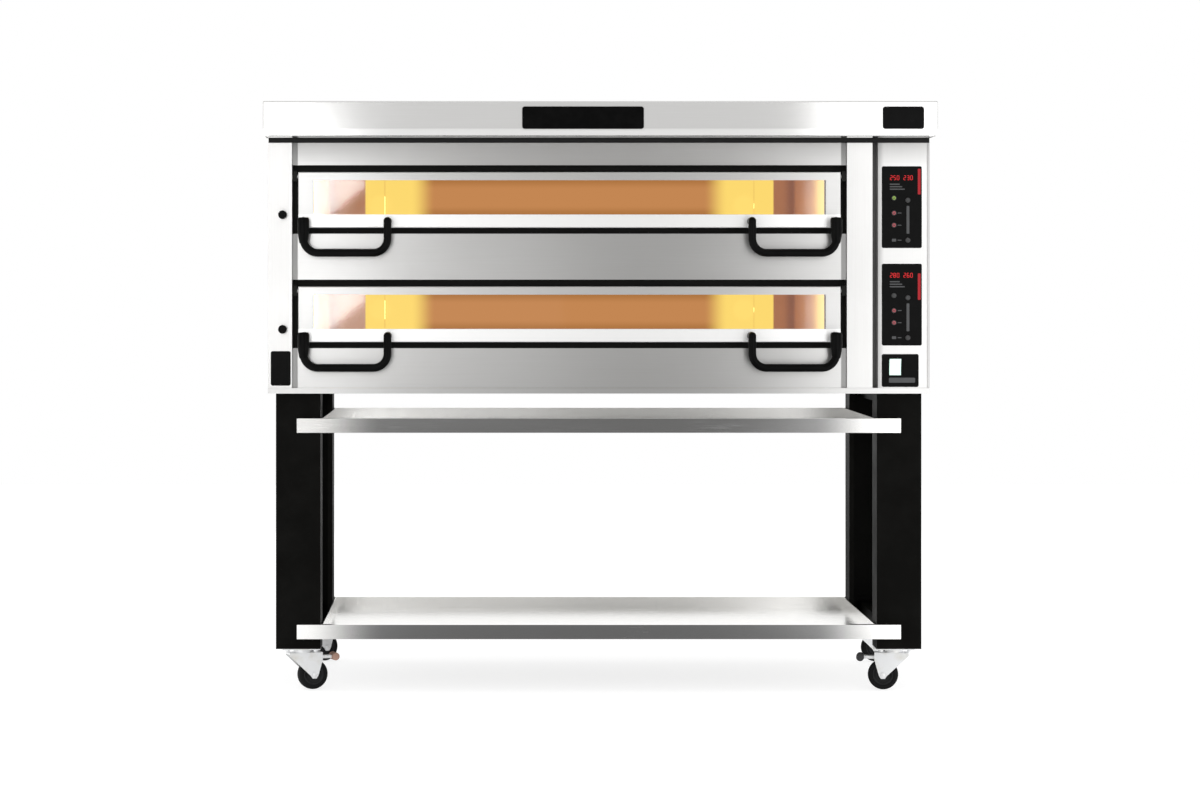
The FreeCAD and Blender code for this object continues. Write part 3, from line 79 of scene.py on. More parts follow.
LIP_HIGHLIGHT_HALF = 0.017  # half the height of a painted highlight on an edge
DOOR_LIP_HIGHLIGHTS = [middle - LIP_HIGHLIGHT_DROP for middle in WINDOW_MIDDLES]


# ---------------------------------------------------------------- materials
class Shader:
    """A material's node tree with short calls for the nodes used here."""

    def __init__(self, name):
        self.material = bpy.data.materials.new(name)
        self.material.use_nodes = True
        self.tree = self.material.node_tree
        self.surface = self.tree.nodes["Principled BSDF"]
        self.output = self.tree.nodes["Material Output"]
        self.places = self.add("ShaderNodeTexCoord").outputs["Object"]

    def add(self, kind, **settings):
        node = self.tree.nodes.new(kind)
        for key, value in settings.items():
            setattr(node, key, value)
        return node

    def link(self, source, target):
        self.tree.links.new(source, target)

    def set(self, **values):
        """Fixed values on the shader's own sockets; underscores stand for spaces."""
        for key, value in values.items():
            self.surface.inputs[key.replace("_", " ")].default_value = value

    def stretched(self, scale):
        """Object positions scaled by a different factor along each axis."""
        mapping = self.add("ShaderNodeMapping")
        mapping.inputs["Scale"].default_value = scale
        self.link(self.places, mapping.inputs["Vector"])
        return mapping.outputs["Vector"]

    def noise(self, scale=(1, 1, 1), size=1.0, detail=4.0, roughness=0.5):
        texture = self.add("ShaderNodeTexNoise")
        texture.inputs["Scale"].default_value = size
        texture.inputs["Detail"].default_value = detail
        texture.inputs["Roughness"].default_value = roughness
        self.link(self.stretched(scale), texture.inputs["Vector"])
        return texture.outputs["Fac"]

    def fade(self, value, low, high, to_low=0.0, to_high=1.0, smooth=False):
        """A value rescaled from one range to another and held inside it."""
        ranged = self.add("ShaderNodeMapRange")
        if smooth:
            ranged.interpolation_type = "SMOOTHSTEP"
        for key, number in (
            ("From Min", low), ("From Max", high), ("To Min", to_low), ("To Max", to_high),
        ):
            ranged.inputs[key].default_value = number
        self.link(value, ranged.inputs["Value"])
        return ranged.outputs["Result"]

    def blend(self, factor, first, second):
        """Two colours, or a colour and another node's colour, mixed by a factor."""
        mix = self.add("ShaderNodeMix", data_type="RGBA")
        self.link(factor, mix.inputs["Factor"])
        for socket, colour in ((mix.inputs["A"], first), (mix.inputs["B"], second)):
            if isinstance(colour, tuple):
                socket.default_value = (*colour, 1.0)
            else:
                self.link(colour, socket)
        return mix.outputs["Result"]

    def math(self, operation, first, second=0.0):
        node = self.add("ShaderNodeMath", operation=operation)
        for socket, value in zip(node.inputs, (first, second)):
            if isinstance(value, (int, float)):
                socket.default_value = value
            else:
                self.link(value, socket)
        return node.outputs["Value"]

    def axis(self, letter):
        """The object position along one axis."""
        split = self.add("ShaderNodeSeparateXYZ")
        self.link(self.places, split.inputs["Vector"])
        return split.outputs[letter]

    def bump(self, height, strength, distance=0.001, under=None):
        node = self.add("ShaderNodeBump")
        node.inputs["Strength"].default_value = strength
        node.inputs["Distance"].default_value = distance
        self.link(height, node.inputs["Height"])
        if under is not None:
            self.link(under, node.inputs["Normal"])
        return node.outputs["Normal"]

    def away(self, letter, centre):
        """How far a point is from a plane across one axis."""
        return self.math("ABSOLUTE", self.math("SUBTRACT", self.axis(letter), centre))

    def nearest(self, letter, centres):
        """How far a point is from the nearest of some planes across one axis."""
        distance = self.away(letter, centres[0])
        for centre in centres[1:]:
            distance = self.math("MINIMUM", distance, self.away(letter, centre))
        return distance

    def drive(self, socket, value):
        self.link(value, self.surface.inputs[socket])


SHADE_COLOUR = (0.055, 0.054, 0.052)
SHADE_DULLING = 0.7  # roughness that a full shade adds
LIP_HIGHLIGHT_COLOUR = (0.97, 0.97, 0.965)
LIP_HIGHLIGHT_METALLIC = 0.6


def brushed_steel(name, tone=0.78, roughness=0.3, grain="X", shades=(), metallic=1.0, highlight_lips=()):
    """Stainless sheet with fine grain lines and faint wipe marks.

    Each shade is an axis, a centre, a reach, a width and a strength: farther from the
    centre than the reach, the sheet gets a painted shade, darker and duller, rising over the
    width.
    Lips are the heights of edges that carry a painted highlight.
    """
    shader = Shader(name)
    along, across = 6.0, 2600.0
    scale = {
        "X": (along, across, across), "Y": (across, along, across), "Z": (across, across, along),
    }[grain]
    grain_lines = shader.noise(scale, detail=2.0)
    wipes = shader.noise((0.6, 0.6, 2.4), size=2.0, detail=2.0, roughness=0.4)
    dark = (tone * 0.95, tone * 0.945, tone * 0.935)
    light = (tone, tone * 0.998, tone * 0.992)
    colour = shader.blend(shader.fade(grain_lines, 0.3, 0.7), dark, light)
    rough = shader.fade(wipes, 0.35, 0.7, roughness, roughness + 0.035)
    for letter, centre, reach, width, strength in shades:
        shade = shader.fade(shader.away(letter, centre), reach, reach + width, 0.0, strength)
        colour = shader.blend(shade, colour, SHADE_COLOUR)
        dulling = shader.math("MULTIPLY", shade, SHADE_DULLING)
        rough = shader.math("ADD", rough, dulling)
    # Painted highlight along each lip: near-white and less metallic.
    if highlight_lips:
        lip_highlight = shader.fade(shader.nearest("Z", highlight_lips), LIP_HIGHLIGHT_HALF, LIP_HIGHLIGHT_HALF + 0.003, 1.0, 0.0)
        colour = shader.blend(lip_highlight, colour, LIP_HIGHLIGHT_COLOUR)
        shader.drive("Metallic", shader.fade(lip_highlight, 0.0, 1.0, metallic, LIP_HIGHLIGHT_METALLIC))
    else:
        shader.set(Metallic=metallic)
    shader.drive("Base Color", colour)
    shader.drive("Roughness", rough)
    shader.drive("Normal", shader.bump(grain_lines, 0.06, 0.0003))
    tangent = shader.add("ShaderNodeTangent", direction_type="RADIAL", axis="Z")
    shader.link(tangent.outputs["Tangent"], shader.surface.inputs["Tangent"])
    shader.set(Anisotropic=0.5, Anisotropic_Rotation=0.25)
    return shader.material


def polished_steel(name, tone, rolled_tone, roughness=0.1):
    """Bright tray sheet with rubbed scuffs, and a darker rolled front rail.

    The rail's ends carry a painted highlight.
    """
    shader = Shader(name)
    rail_back = SHELF_FRONT + 0.0015
    highlight_start, highlight_end = 0.60, 0.82
    scuffs = shader.noise((9.0, 260.0, 260.0), detail=3.0)
    haze = shader.noise((1, 1, 1), size=6.0, detail=5.0)
    worn = shader.math("MULTIPLY", shader.fade(scuffs, 0.5, 0.75), shader.fade(haze, 0.4, 0.7))
    sheet = shader.blend(worn, (tone, tone * 0.995, tone * 0.98), (tone * 0.9,) * 3)
    rail = shader.fade(shader.axis("Y"), rail_back, rail_back + 0.001, 1.0, 0.0)
    # Painted highlight on the rail's ends.
    rail_end_highlight = shader.fade(shader.away("X", 0.0), highlight_start, highlight_end, smooth=True)
    rolled = shader.blend(rail_end_highlight, (rolled_tone,) * 3, (0.93, 0.925, 0.91))
    shader.drive("Base Color", shader.blend(rail, sheet, rolled))
    shader.drive("Roughness", shader.fade(worn, 0.0, 1.0, roughness, roughness + 0.14))
    shader.drive("Normal", shader.bump(haze, 0.05, 0.0006))
    shader.set(Metallic=1.0)
    return shader.material


def powder_coat(name, colour, roughness=0.42, peel=0.12, gloss=0.15):
    """Baked paint with a fine orange-peel skin and dusty, slightly rubbed patches."""
    shader = Shader(name)
    skin = shader.noise((1, 1, 1), size=900.0, detail=2.0)
    slow = shader.noise((1, 1, 1), size=7.0, detail=6.0, roughness=0.62)
    lighter = tuple(part * 1.5 + 0.002 for part in colour)
    shader.drive("Base Color", shader.blend(shader.fade(slow, 0.45, 0.8), colour, lighter))
    shader.drive("Roughness", shader.fade(slow, 0.3, 0.8, roughness - 0.05, roughness + 0.1))
    shader.drive("Normal", shader.bump(skin, peel, 0.0004))
    shader.set(Specular_IOR_Level=gloss)
    return shader.material


def moulded_plastic(name, colour, roughness=0.3, gloss=0.5, glow=None, strength=0.0):
    """Moulded plastic with a fine spark-etched grain; it can be lit from behind."""
    shader = Shader(name)
    etched = shader.noise((1, 1, 1), size=1600.0, detail=2.0)
    marks = shader.noise((1, 1, 1), size=40.0, detail=4.0)
    lighter = tuple(min(1.0, part * 1.15 + 0.001) for part in colour)
    shader.drive("Base Color", shader.blend(shader.fade(marks, 0.4, 0.75), colour, lighter))
    shader.drive("Roughness", shader.fade(marks, 0.3, 0.75, roughness, roughness + 0.08))
    shader.drive("Normal", shader.bump(etched, 0.05, 0.0003))
    shader.set(Specular_IOR_Level=gloss)
    if glow:
        shader.set(Emission_Color=(*glow, 1.0), Emission_Strength=strength)
    return shader.material


def zinc_plating(name, tone=0.86, roughness=0.30):
    """Zinc-plated steel: pale grey, with spangled roughness and a faint warm stain."""
    shader = Shader(name)
    spangle = shader.add("ShaderNodeTexVoronoi")
    spangle.inputs["Scale"].default_value = 320.0
    shader.link(shader.places, spangle.inputs["Vector"])
    stain = shader.noise((1, 1, 1), size=30.0, detail=4.0)
    shader.drive("Base Color", shader.blend(
        shader.fade(stain, 0.5, 0.8), (tone, tone * 1.01, tone * 1.02),
        (tone * 0.84, tone * 0.82, tone * 0.76)))
    shader.drive("Roughness", shader.fade(
        spangle.outputs["Distance"], 0.0, 0.8, roughness, roughness + 0.14))
    shader.drive("Normal", shader.bump(stain, 0.05, 0.0005))
    shader.set(Metallic=0.6)
    return shader.material


def rubber(name, colour=(0.018, 0.019, 0.021), dust=(0.10, 0.10, 0.10)):
    """Moulded rubber with a matt skin and dust caught in its pores."""
    shader = Shader(name)
    pores = shader.noise((1, 1, 1), size=700.0, detail=3.0)
    patches = shader.noise((1, 1, 1), size=55.0, detail=5.0, roughness=0.7)
    dusty = shader.math("MULTIPLY", shader.fade(pores, 0.5, 0.7), shader.fade(patches, 0.45, 0.75))
    shader.drive("Base Color", shader.blend(dusty, colour, dust))
    shader.drive("Roughness", shader.fade(patches, 0.3, 0.8, 0.5, 0.78))
    shader.drive("Normal", shader.bump(pores, 0.25, 0.0004))
    shader.set(Specular_IOR_Level=0.15)
    return shader.material


def hearth_stone(name):
    """Pressed baking stone: fine aggregate, flour dust and scorched patches of use."""
    shader = Shader(name)
    grit = shader.noise((1, 1, 1), size=420.0, detail=5.0, roughness=0.7)
    scorch = shader.noise((1, 1, 1), size=9.0, detail=6.0, roughness=0.65)
    flour = shader.noise((1, 1, 1), size=34.0, detail=8.0, roughness=0.8)
    body = shader.blend(shader.fade(grit, 0.35, 0.7), (0.30, 0.22, 0.15), (0.55, 0.43, 0.31))
    burnt = shader.blend(shader.fade(scorch, 0.5, 0.72, 0.0, 0.75), body, (0.12, 0.075, 0.045))
    shader.drive("Base Color", shader.blend(
        shader.fade(flour, 0.62, 0.78, 0.0, 0.5), burnt, (0.8, 0.74, 0.64)))
    shader.drive("Normal", shader.bump(grit, 0.5, 0.0008))
    shader.set(Roughness=0.88, Specular_IOR_Level=0.25)
    return shader.material


def mineral_wool(name):
    """Matted fibres in straw yellow."""
    shader = Shader(name)
    fibres = shader.noise((90.0, 90.0, 700.0), detail=6.0, roughness=0.7)
    clumps = shader.noise((1, 1, 1), size=30.0, detail=5.0)
    base = shader.blend(shader.fade(fibres, 0.35, 0.7), (0.42, 0.36, 0.20), (0.72, 0.66, 0.44))
    shader.drive("Base Color", shader.blend(
        shader.fade(clumps, 0.4, 0.8, 0.0, 0.5), base, (0.50, 0.44, 0.28)))
    shader.drive("Normal", shader.bump(fibres, 0.8, 0.002))
    shader.set(Roughness=0.95, Specular_IOR_Level=0.1)
    return shader.material


def element_metal(name):
    """Oxidised heating tube, dark grey with brown heat tints along its length."""
    shader = Shader(name)
    oxide = shader.noise((14.0, 4.0, 14.0), detail=5.0)
    shader.drive("Base Color", shader.blend(
        shader.fade(oxide, 0.35, 0.7), (0.05, 0.045, 0.05), (0.17, 0.11, 0.075)))
    shader.drive("Roughness", shader.fade(oxide, 0.3, 0.7, 0.42, 0.62))
    shader.drive("Normal", shader.bump(shader.noise((1, 1, 1), size=900.0), 0.2, 0.0003))
    shader.set(Metallic=0.8)
    return shader.material


def lit_chamber_steel(name):
    """Chamber lining, warmed to copper by heat, with painted lamp light: it glows all over, yellow
    on the side walls towards the front, with a painted shade just inside the window's side edges.
    """
    shader = Shader(name)
    tint = shader.noise((2.0, 2.0, 5.0), size=2.0, detail=5.0)
    grain_lines = shader.noise((6.0, 900.0, 900.0), detail=2.0)
    warm = shader.blend(shader.fade(tint, 0.3, 0.75), (0.50, 0.24, 0.085), (0.58, 0.31, 0.12))
    shader.drive("Base Color", warm)
    shader.drive("Roughness", shader.fade(tint, 0.3, 0.75, 0.42, 0.55))
    shader.drive("Normal", shader.bump(grain_lines, 0.06, 0.0004))
    # Painted lamp light: the lining glows, yellow on the side walls towards the front.
    dim_depth, bright_depth = FRONT + 0.45, FRONT + 0.10
    off_centre = shader.away("X", DECK_CENTRE)
    beside = shader.fade(off_centre, WINDOW_HALF - 0.004, WINDOW_HALF)
    nearer = shader.fade(shader.axis("Y"), dim_depth, bright_depth, smooth=True)
    glow = shader.math("MULTIPLY", beside, nearer)
    # Painted shade in the corners just inside the window's side edges.
    corner = shader.fade(off_centre, WINDOW_HALF - 0.040, WINDOW_HALF - 0.010, smooth=True)
    shade = shader.math("MULTIPLY", corner, shader.math("SUBTRACT", 1.0, beside))
    lit = shader.blend(glow, (0.46, 0.19, 0.062), (1.0, 0.74, 0.20))
    shader.drive("Emission Color", shader.blend(shade, lit, (0.10, 0.035, 0.015)))
    shader.drive("Emission Strength", shader.fade(glow, 0.0, 1.0, 0.50, 1.0))
    shader.set(Metallic=0.4)
    return shader.material


def oven_glass(name):
    """Clear pane with painted light over its middle in place of the lamp-lit chamber behind it: an
    amber glow, darker towards the top and bottom, yellow towards its ends.
    """
    shader = Shader(name)
    off_centre = shader.away("X", DECK_CENTRE)
    waves = shader.noise((1.0, 1.0, 1.0), size=14.0, detail=2.0)
    shader.drive("Base Color", shader.blend(
        shader.fade(waves, 0.3, 0.7), (0.98, 0.92, 0.84), (0.99, 0.94, 0.87)))
    shader.drive("Normal", shader.bump(waves, 0.02, 0.001))
    shader.set(Roughness=0.05, IOR=1.9, Transmission_Weight=1.0)
    # Painted light: a glow over the pane's middle, in place of the lamp-lit chamber behind it.
    painted_glow = shader.add("ShaderNodeEmission")
    edge = shader.fade(shader.nearest("Z", WINDOW_MIDDLES), 0.022, 0.05, smooth=True)
    amber = shader.blend(edge, (0.555, 0.243, 0.084), (0.42, 0.175, 0.050))
    glow = shader.fade(off_centre, GLOW_FADE, GLOW_FADE + 0.07, smooth=True)
    shader.link(shader.blend(glow, amber, (1.0, 0.71, 0.165)), painted_glow.inputs["Color"])
    cover = shader.fade(off_centre, GLOW_EDGE - 0.002, GLOW_EDGE + 0.002, 0.88, 0.0)
    mix = shader.add("ShaderNodeMixShader")
    shader.link(cover, mix.inputs["Fac"])
    shader.link(shader.surface.outputs["BSDF"], mix.inputs[1])
    shader.link(painted_glow.outputs["Emission"], mix.inputs[2])
    shader.link(mix.outputs["Shader"], shader.output.inputs["Surface"])
    return shader.material


def lamp_glass(name):
    """Frosted lamp dome, glowing warm."""
    shader = Shader(name)
    frost = shader.noise((1, 1, 1), size=300.0)
    shader.drive("Base Color", shader.blend(frost, (1.0, 0.86, 0.6), (1.0, 0.92, 0.72)))
    shader.drive("Normal", shader.bump(frost, 0.2, 0.0004))
    shader.set(Roughness=0.45, Emission_Color=(1.0, 0.70, 0.26, 1.0), Emission_Strength=4.0)
    return shader.material


# Shades painted on the steel: an axis, a centre, a reach, a width and a strength.
ROOF_SHADE = ("Z", BODY_BOTTOM, HOOD_HIGH.z - BODY_BOTTOM - 0.0015, 0.001, 0.50)
HOOD_SHADE = ("Z", BODY_BOTTOM, HOOD_LOW.z - BODY_BOTTOM - 0.085, 0.085, 0.26)
# Painted shade on the front panels beside the doors' side edges.
PANEL_END_SHADE = ("X", DECK_CENTRE, PANEL_HALF, 0.0025, 0.38)
# Painted shade in the groove beside the control column, and a softer painted shade on the column
# next to it.
GROOVE_DEEP_SHADE = ("X", BODY_RIGHT, BODY_RIGHT - GROOVE_RIGHT, 0.0025, 0.60)
GROOVE_SHADE = ("X", BODY_RIGHT, BODY_RIGHT - GROOVE_RIGHT - 0.016, 0.016, 0.25)

RED = (1.0, 0.03, 0.04)

MATERIALS = {
    "steel_front": brushed_steel("steel_front", 0.66, 0.28, shades=[PANEL_END_SHADE, HOOD_SHADE]),
    "steel_pan": brushed_steel("steel_pan", 0.66, 0.28),
    "steel_post": brushed_steel("steel_post", 0.73, 0.32, "Z"),
    "steel_column": brushed_steel(
        "steel_column", 0.70, 0.32, "Z", shades=[GROOVE_DEEP_SHADE, GROOVE_SHADE, HOOD_SHADE]),
    "steel_hood": brushed_steel(
        "steel_hood", 0.80, 0.12, shades=[ROOF_SHADE], metallic=0.62, highlight_lips=[HOOD_LOW.z]),
    "steel_flue": brushed_steel("steel_flue", 0.66, 0.30, "Z"),
    "steel_door": brushed_steel("steel_door", 0.71, 0.30, metallic=0.88, highlight_lips=DOOR_LIP_HIGHLIGHTS),
    "steel_casing": brushed_steel("steel_casing", 0.66, 0.34, "Y"),
    "steel_tray": polished_steel("steel_tray", 0.92, 0.31, 0.20),
    "black_coat": powder_coat("black_coat", (0.0028, 0.0027, 0.0023), 0.5, 0.10, 0.035),
    "black_frame": powder_coat("black_frame", (0.011, 0.011, 0.010), 0.5, 0.08, 0.08),
    "black_handle": powder_coat("black_handle", (0.0015, 0.0015, 0.0015), 0.32, 0.05, 0.06),
    "black_panel": moulded_plastic("black_panel", (0.0022, 0.0022, 0.0022), 0.2, 0.05),
    # Painted shadow: the dark strip under the hood.
    "black_shadow_strip": rubber("black_shadow_strip", (0.008, 0.008, 0.008), (0.03, 0.03, 0.03)),
    "grey_key": moulded_plastic("grey_key", (0.035, 0.034, 0.034), 0.35, 0.3),
    "grey_legend": moulded_plastic("grey_legend", (0.055, 0.056, 0.058), 0.4, 0.3),
    "grey_relay": moulded_plastic("grey_relay", (0.20, 0.21, 0.22), 0.4),
    "display_red": moulded_plastic("display_red", (0.30, 0.01, 0.01), 0.3, 0.15, RED, 0.36),
    "strip_red": moulded_plastic("strip_red", (0.22, 0.008, 0.012), 0.3, 0.15, RED, 0.13),
    "glow_green": moulded_plastic(
        "glow_green", (0.20, 0.30, 0.05), 0.3, 0.3, (0.42, 0.75, 0.08), 0.30),
    "glow_pink": moulded_plastic(
        "glow_pink", (0.30, 0.05, 0.06), 0.3, 0.3, (0.90, 0.16, 0.20), 0.22),
    "rocker_white": moulded_plastic(
        "rocker_white", (0.62, 0.80, 0.72), 0.25, 0.4, (0.55, 0.95, 0.78), 0.25),
    "zinc": zinc_plating("zinc"),
    "tyre": rubber("tyre", (0.0035, 0.0035, 0.004), (0.012, 0.013, 0.015)),
    "hub": moulded_plastic("hub", (0.010, 0.010, 0.011), 0.4, 0.2),
    "sleeve_left": rubber("sleeve_left", (0.36, 0.22, 0.17), (0.5, 0.4, 0.35)),
    "sleeve_right": rubber("sleeve_right", (0.035, 0.035, 0.036), (0.09, 0.09, 0.09)),
    "stone": hearth_stone("stone"),
    "wool": mineral_wool("wool"),
    "element": element_metal("element"),
    "chamber": lit_chamber_steel("chamber"),
    "glass": oven_glass("glass"),
    "lamp": lamp_glass("lamp"),
}

# The look of each CAD node, by the start of the node's name.
LOOKS = {
    "hood_": "steel_hood", "flue_collar": "steel_flue", "base_pan": "steel_pan",
    "front_panels": "steel_front", "front_post": "steel_post",
    "control_column": "steel_column", "side_casing": "steel_casing",
    "rear_casing": "steel_casing", "top_cover": "steel_casing", "vent_duct": "steel_casing",
    "door_frame": "steel_door", "door_glass": "glass", "door_handles": "black_handle",
    "damper": "black_handle", "hinge_brackets": "black_frame",
    "badge_plates": "black_panel", "control_panels": "black_panel",
    "switch_plate": "black_panel", "cable_gland": "black_panel", "key_": "grey_key",
    "rocker_switch": "rocker_white", "electrics": "grey_relay",
    "chamber_liners": "chamber", "hearth_stones": "stone", "heating_elements": "element",
    "chamber_lamps": "lamp", "insulation": "wool",
    "stand_side": "black_coat", "front_frame": "black_frame", "stand_bolts": "zinc",
    "shelf_": "steel_tray", "caster_plates": "zinc", "caster_fork": "zinc",
    "caster_wheel": "tyre", "brake_pedal": "zinc",
}


def dress(node):
    """Replace a CAD node's materials by its one finish."""
    look = next(look for start, look in LOOKS.items() if node.startswith(start))
    mesh = nodes[node].data
    mesh.materials.clear()
    mesh.materials.append(MATERIALS[look])


for node_name in nodes:
    dress(node_name)


# ---------------------------------------------------------------- making pieces
def add_piece(name, mesh, look, body):
    """A finished mesh that rides on a CAD body."""
    mesh.materials.append(MATERIALS[look])
    piece = bpy.data.objects.new(name, mesh)
    bpy.context.scene.collection.objects.link(piece)
    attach(piece, body)
    return piece


def new_mesh(name, build):
    """A mesh filled by a function that draws into a bmesh."""
    drawing = bmesh.new()
    build(drawing)
    bmesh.ops.recalc_face_normals(drawing, faces=drawing.faces)
    mesh = bpy.data.meshes.new(name)
    drawing.to_mesh(mesh)
    drawing.free()
    return mesh


def bridge(drawing, first, second, smooth=False):
    """Faces between two closed rings of equally many points."""
    count = len(first)
    for i in range(count):
        j = (i + 1) % count
        face = drawing.faces.new((first[i], first[j], second[j], second[i]))
        face.smooth = smooth


def ring_points(left, right, bottom, top, radius, steps=5):
    """Points round a rectangle with rounded corners, as pairs."""
    points = []
    for u, v, start in (
        (right - radius, bottom + radius, 270), (right - radius, top - radius, 0),
        (left + radius, top - radius, 90), (left + radius, bottom + radius, 180),
    ):
        for step in range(steps + 1):
            angle = math.radians(start + 90 * step / steps)
            points.append((u + radius * math.cos(angle), v + radius * math.sin(angle)))
    return points


def draw_plate(drawing, left, right, bottom, top, front, thick, radius, bevel):
    """A plate that faces -Y, with rounded corners and a rounded front edge."""
    rings = []
    for inset, y in ((0.0, front + thick), (0.0, front + bevel),
                     (bevel * 0.3, front + bevel * 0.3), (bevel, front)):
        outline = ring_points(left + inset, right - inset, bottom + inset, top - inset,
                              max(radius - inset, bevel * 0.1))
        rings.append([drawing.verts.new((u, y, v)) for u, v in outline])
    for first, second in zip(rings, rings[1:]):
        bridge(drawing, first, second)
    drawing.faces.new(rings[0])
    drawing.faces.new(rings[-1])


def plate_mesh(name, *sizes):
    return new_mesh(name, lambda drawing: draw_plate(drawing, *sizes))


def draw_turned(drawing, profile, centre, axis, steps=32):
    """A profile of radius and height pairs turned about an axis through the centre."""
    axis = Vector(axis).normalized()
    side = axis.orthogonal().normalized()
    other = axis.cross(side)
    rings = []
    for radius, height in profile:
        ring = []
        for step in range(steps):
            angle = 2 * math.pi * step / steps
            spoke = side * math.cos(angle) + other * math.sin(angle)
            ring.append(drawing.verts.new(Vector(centre) + axis * height + spoke * radius))
        rings.append(ring)
    for first, second in zip(rings, rings[1:]):
        bridge(drawing, first, second, smooth=True)
    if profile[0] != profile[-1]:
        drawing.faces.new(rings[0])
        drawing.faces.new(rings[-1])


def turned_mesh(name, profile, centre, axis, steps=48):
    return new_mesh(name, lambda drawing: draw_turned(drawing, profile, centre, axis, steps))


# A screw head's outline as radius and height pairs, from its rim to its socket.
SCREW = [
    (0.0045, -0.0005), (0.0045, 0.0004), (0.0041, 0.0013), (0.0031, 0.0021),
    (0.0019, 0.0024), (0.0017, 0.0012), (0.0004, 0.0010),
]


def screws(name, places, outward, look="zinc", body="root"):
    """Low domed screw heads with a socket, as one piece."""
    def build(drawing):
        for place in places:
            draw_turned(drawing, SCREW, place, outward, 18)

    return add_piece(name, new_mesh(name, build), look, body)


def spaced(first, last, count):
    """Evenly spaced numbers from the first to the last."""
    return [first + (last - first) * i / (count - 1) for i in range(count)]


# ---------------------------------------------------------------- casters
AXLE_HALF = 0.0217  # from a wheel's middle to the nuts' seats


def mirrored(side, middle=()):
    """A closed profile: points below the middle, the middle, and the same points above."""
    above = [(radius, -height) for radius, height in reversed(side)]
    return [*side, *middle, *above, side[0]]


def wheel_pieces(corner):
    """Moulded tyre with a crowned tread on a dished hub."""
    joint = joints[f"roller_{corner}_spin"]
    centre, axis = Vector(joint["pos_m"]), Vector(joint["axis"])
    node = f"caster_wheel_{corner}"
    floor_gap = 0.0002
    tread = centre.z - floor_gap
    half = 0.0148
    rim = tread * 0.68
    tyre_profile = mirrored([
        (rim, -half + 0.001), (rim + 0.003, -half), (tread - 0.006, -half),
        (tread - 0.0022, -half + 0.002), (tread - 0.0006, -half + 0.0062),
    ], [(tread, 0.0)])
    hub_profile = mirrored([
        (0.0042, -0.0168), (0.0095, -0.0168), (0.0105, -0.0150), (0.0115, -0.0085),
        (rim - 0.006, -0.0085), (rim - 0.003, -half), (rim, -half + 0.0004),
    ])
    for look, profile in (("tyre", tyre_profile), ("hub", hub_profile)):
        mesh = turned_mesh(f"{look}_{corner}", profile, centre, axis, 64)
        piece = add_piece(f"{look}_{corner}", mesh, look, f"roller_{corner}")
        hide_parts(node)


def foot_sleeve(side):
    """Grooved sleeve round the bar of a brake pedal."""
    swivel = Vector(joints[f"swivel_front_{side}_turn"]["pos_m"])
    joint = joints[f"brake_{side}_press"]
    pivot = Vector(joint["pos_m"])
    out = Vector((pivot.x - swivel.x, pivot.y - swivel.y, 0)).normalized()
    reach = 0.094
    centre = Vector((swivel.x, swivel.y, pivot.z)) + out * reach
    profile = [(0.0006, -0.0184), (0.0095, -0.0184), (0.0110, -0.0170)]
    for groove in spaced(-0.011, 0.011, 5):
        profile += [
            (0.0112, groove - 0.002), (0.0107, groove - 0.0008), (0.0107, groove + 0.0008),
            (0.0112, groove + 0.002),
        ]
    profile += [(0.0110, 0.0170), (0.0095, 0.0184), (0.0006, 0.0184)]
    mesh = turned_mesh(f"foot_sleeve_{side}", profile, centre, joint["axis"])
    add_piece(f"foot_sleeve_{side}", mesh, f"sleeve_{side}", f"brake_{side}")


def axle_nuts(corner):
    """Domed nuts on both ends of a wheel's axle."""
    joint = joints[f"roller_{corner}_spin"]
    nut = [(0.0075, 0.0), (0.0075, 0.0032), (0.0062, 0.0036), (0.0044, 0.0036),
           (0.0036, 0.0046), (0.0006, 0.0050)]

    def build(drawing):
        for side in (-1, 1):
            axis = Vector(joint["axis"]) * side
            draw_turned(drawing, nut, Vector(joint["pos_m"]) + axis * AXLE_HALF, axis, 6)

    mesh = new_mesh(f"axle_nuts_{corner}", build)
    add_piece(f"axle_nuts_{corner}", mesh, "zinc", f"swivel_{corner}")


# ---------------------------------------------------------------- controls
DIGIT_BARS = {
    "0": "abcdef", "2": "abged", "3": "abgcd", "5": "afgcd", "6": "afgcde", "8": "abcdefg",
}
DIGIT_PITCH = 0.0094
READINGS = {"upper": "250 230", "lower": "280 260"}
STRIP_HEIGHTS = {"upper": (0.150, 0.222), "lower": (0.128, 0.202)}
POWER_KEY_RISE = 0.140  # above the foot of its control panel


def draw_digit(drawing, digit, left, bottom, front, width=0.0072, height=0.0135):
    """One digit of seven glowing bars."""
    bar = 0.0017
    right, top, middle = left + width, bottom + height, bottom + height / 2
    spans = {
        "a": (left + bar, right - bar, top - bar, top),
        "b": (right - bar, right, middle, top - bar * 0.5),
        "c": (right - bar, right, bottom + bar * 0.5, middle),
        "d": (left + bar, right - bar, bottom, bottom + bar),
        "e": (left, left + bar, bottom + bar * 0.5, middle),
        "f": (left, left + bar, middle, top - bar * 0.5),
        "g": (left + bar, right - bar, middle - bar / 2, middle + bar / 2),
    }
    for name in DIGIT_BARS[digit]:
        draw_plate(drawing, *spans[name], front, 0.0004, 0.0003, 0.0001)


def display_digits(level, left, bottom, front):
    """Temperature figures: two groups of three digits."""
    def build(drawing):
        x = left
        for character in READINGS[level]:
            if character != " ":
                draw_digit(drawing, character, x, bottom, front)
            x += DIGIT_PITCH

    name = f"display_{level}"
    add_piece(name, new_mesh(name, build), "display_red", "root")


def draw_mark(drawing, left, right, bottom, top, front, radius=0.002):
    """One printed mark, raised by the thickness of its ink."""
    draw_plate(drawing, left, right, bottom, top, front, 0.0003, radius, 0.0001)


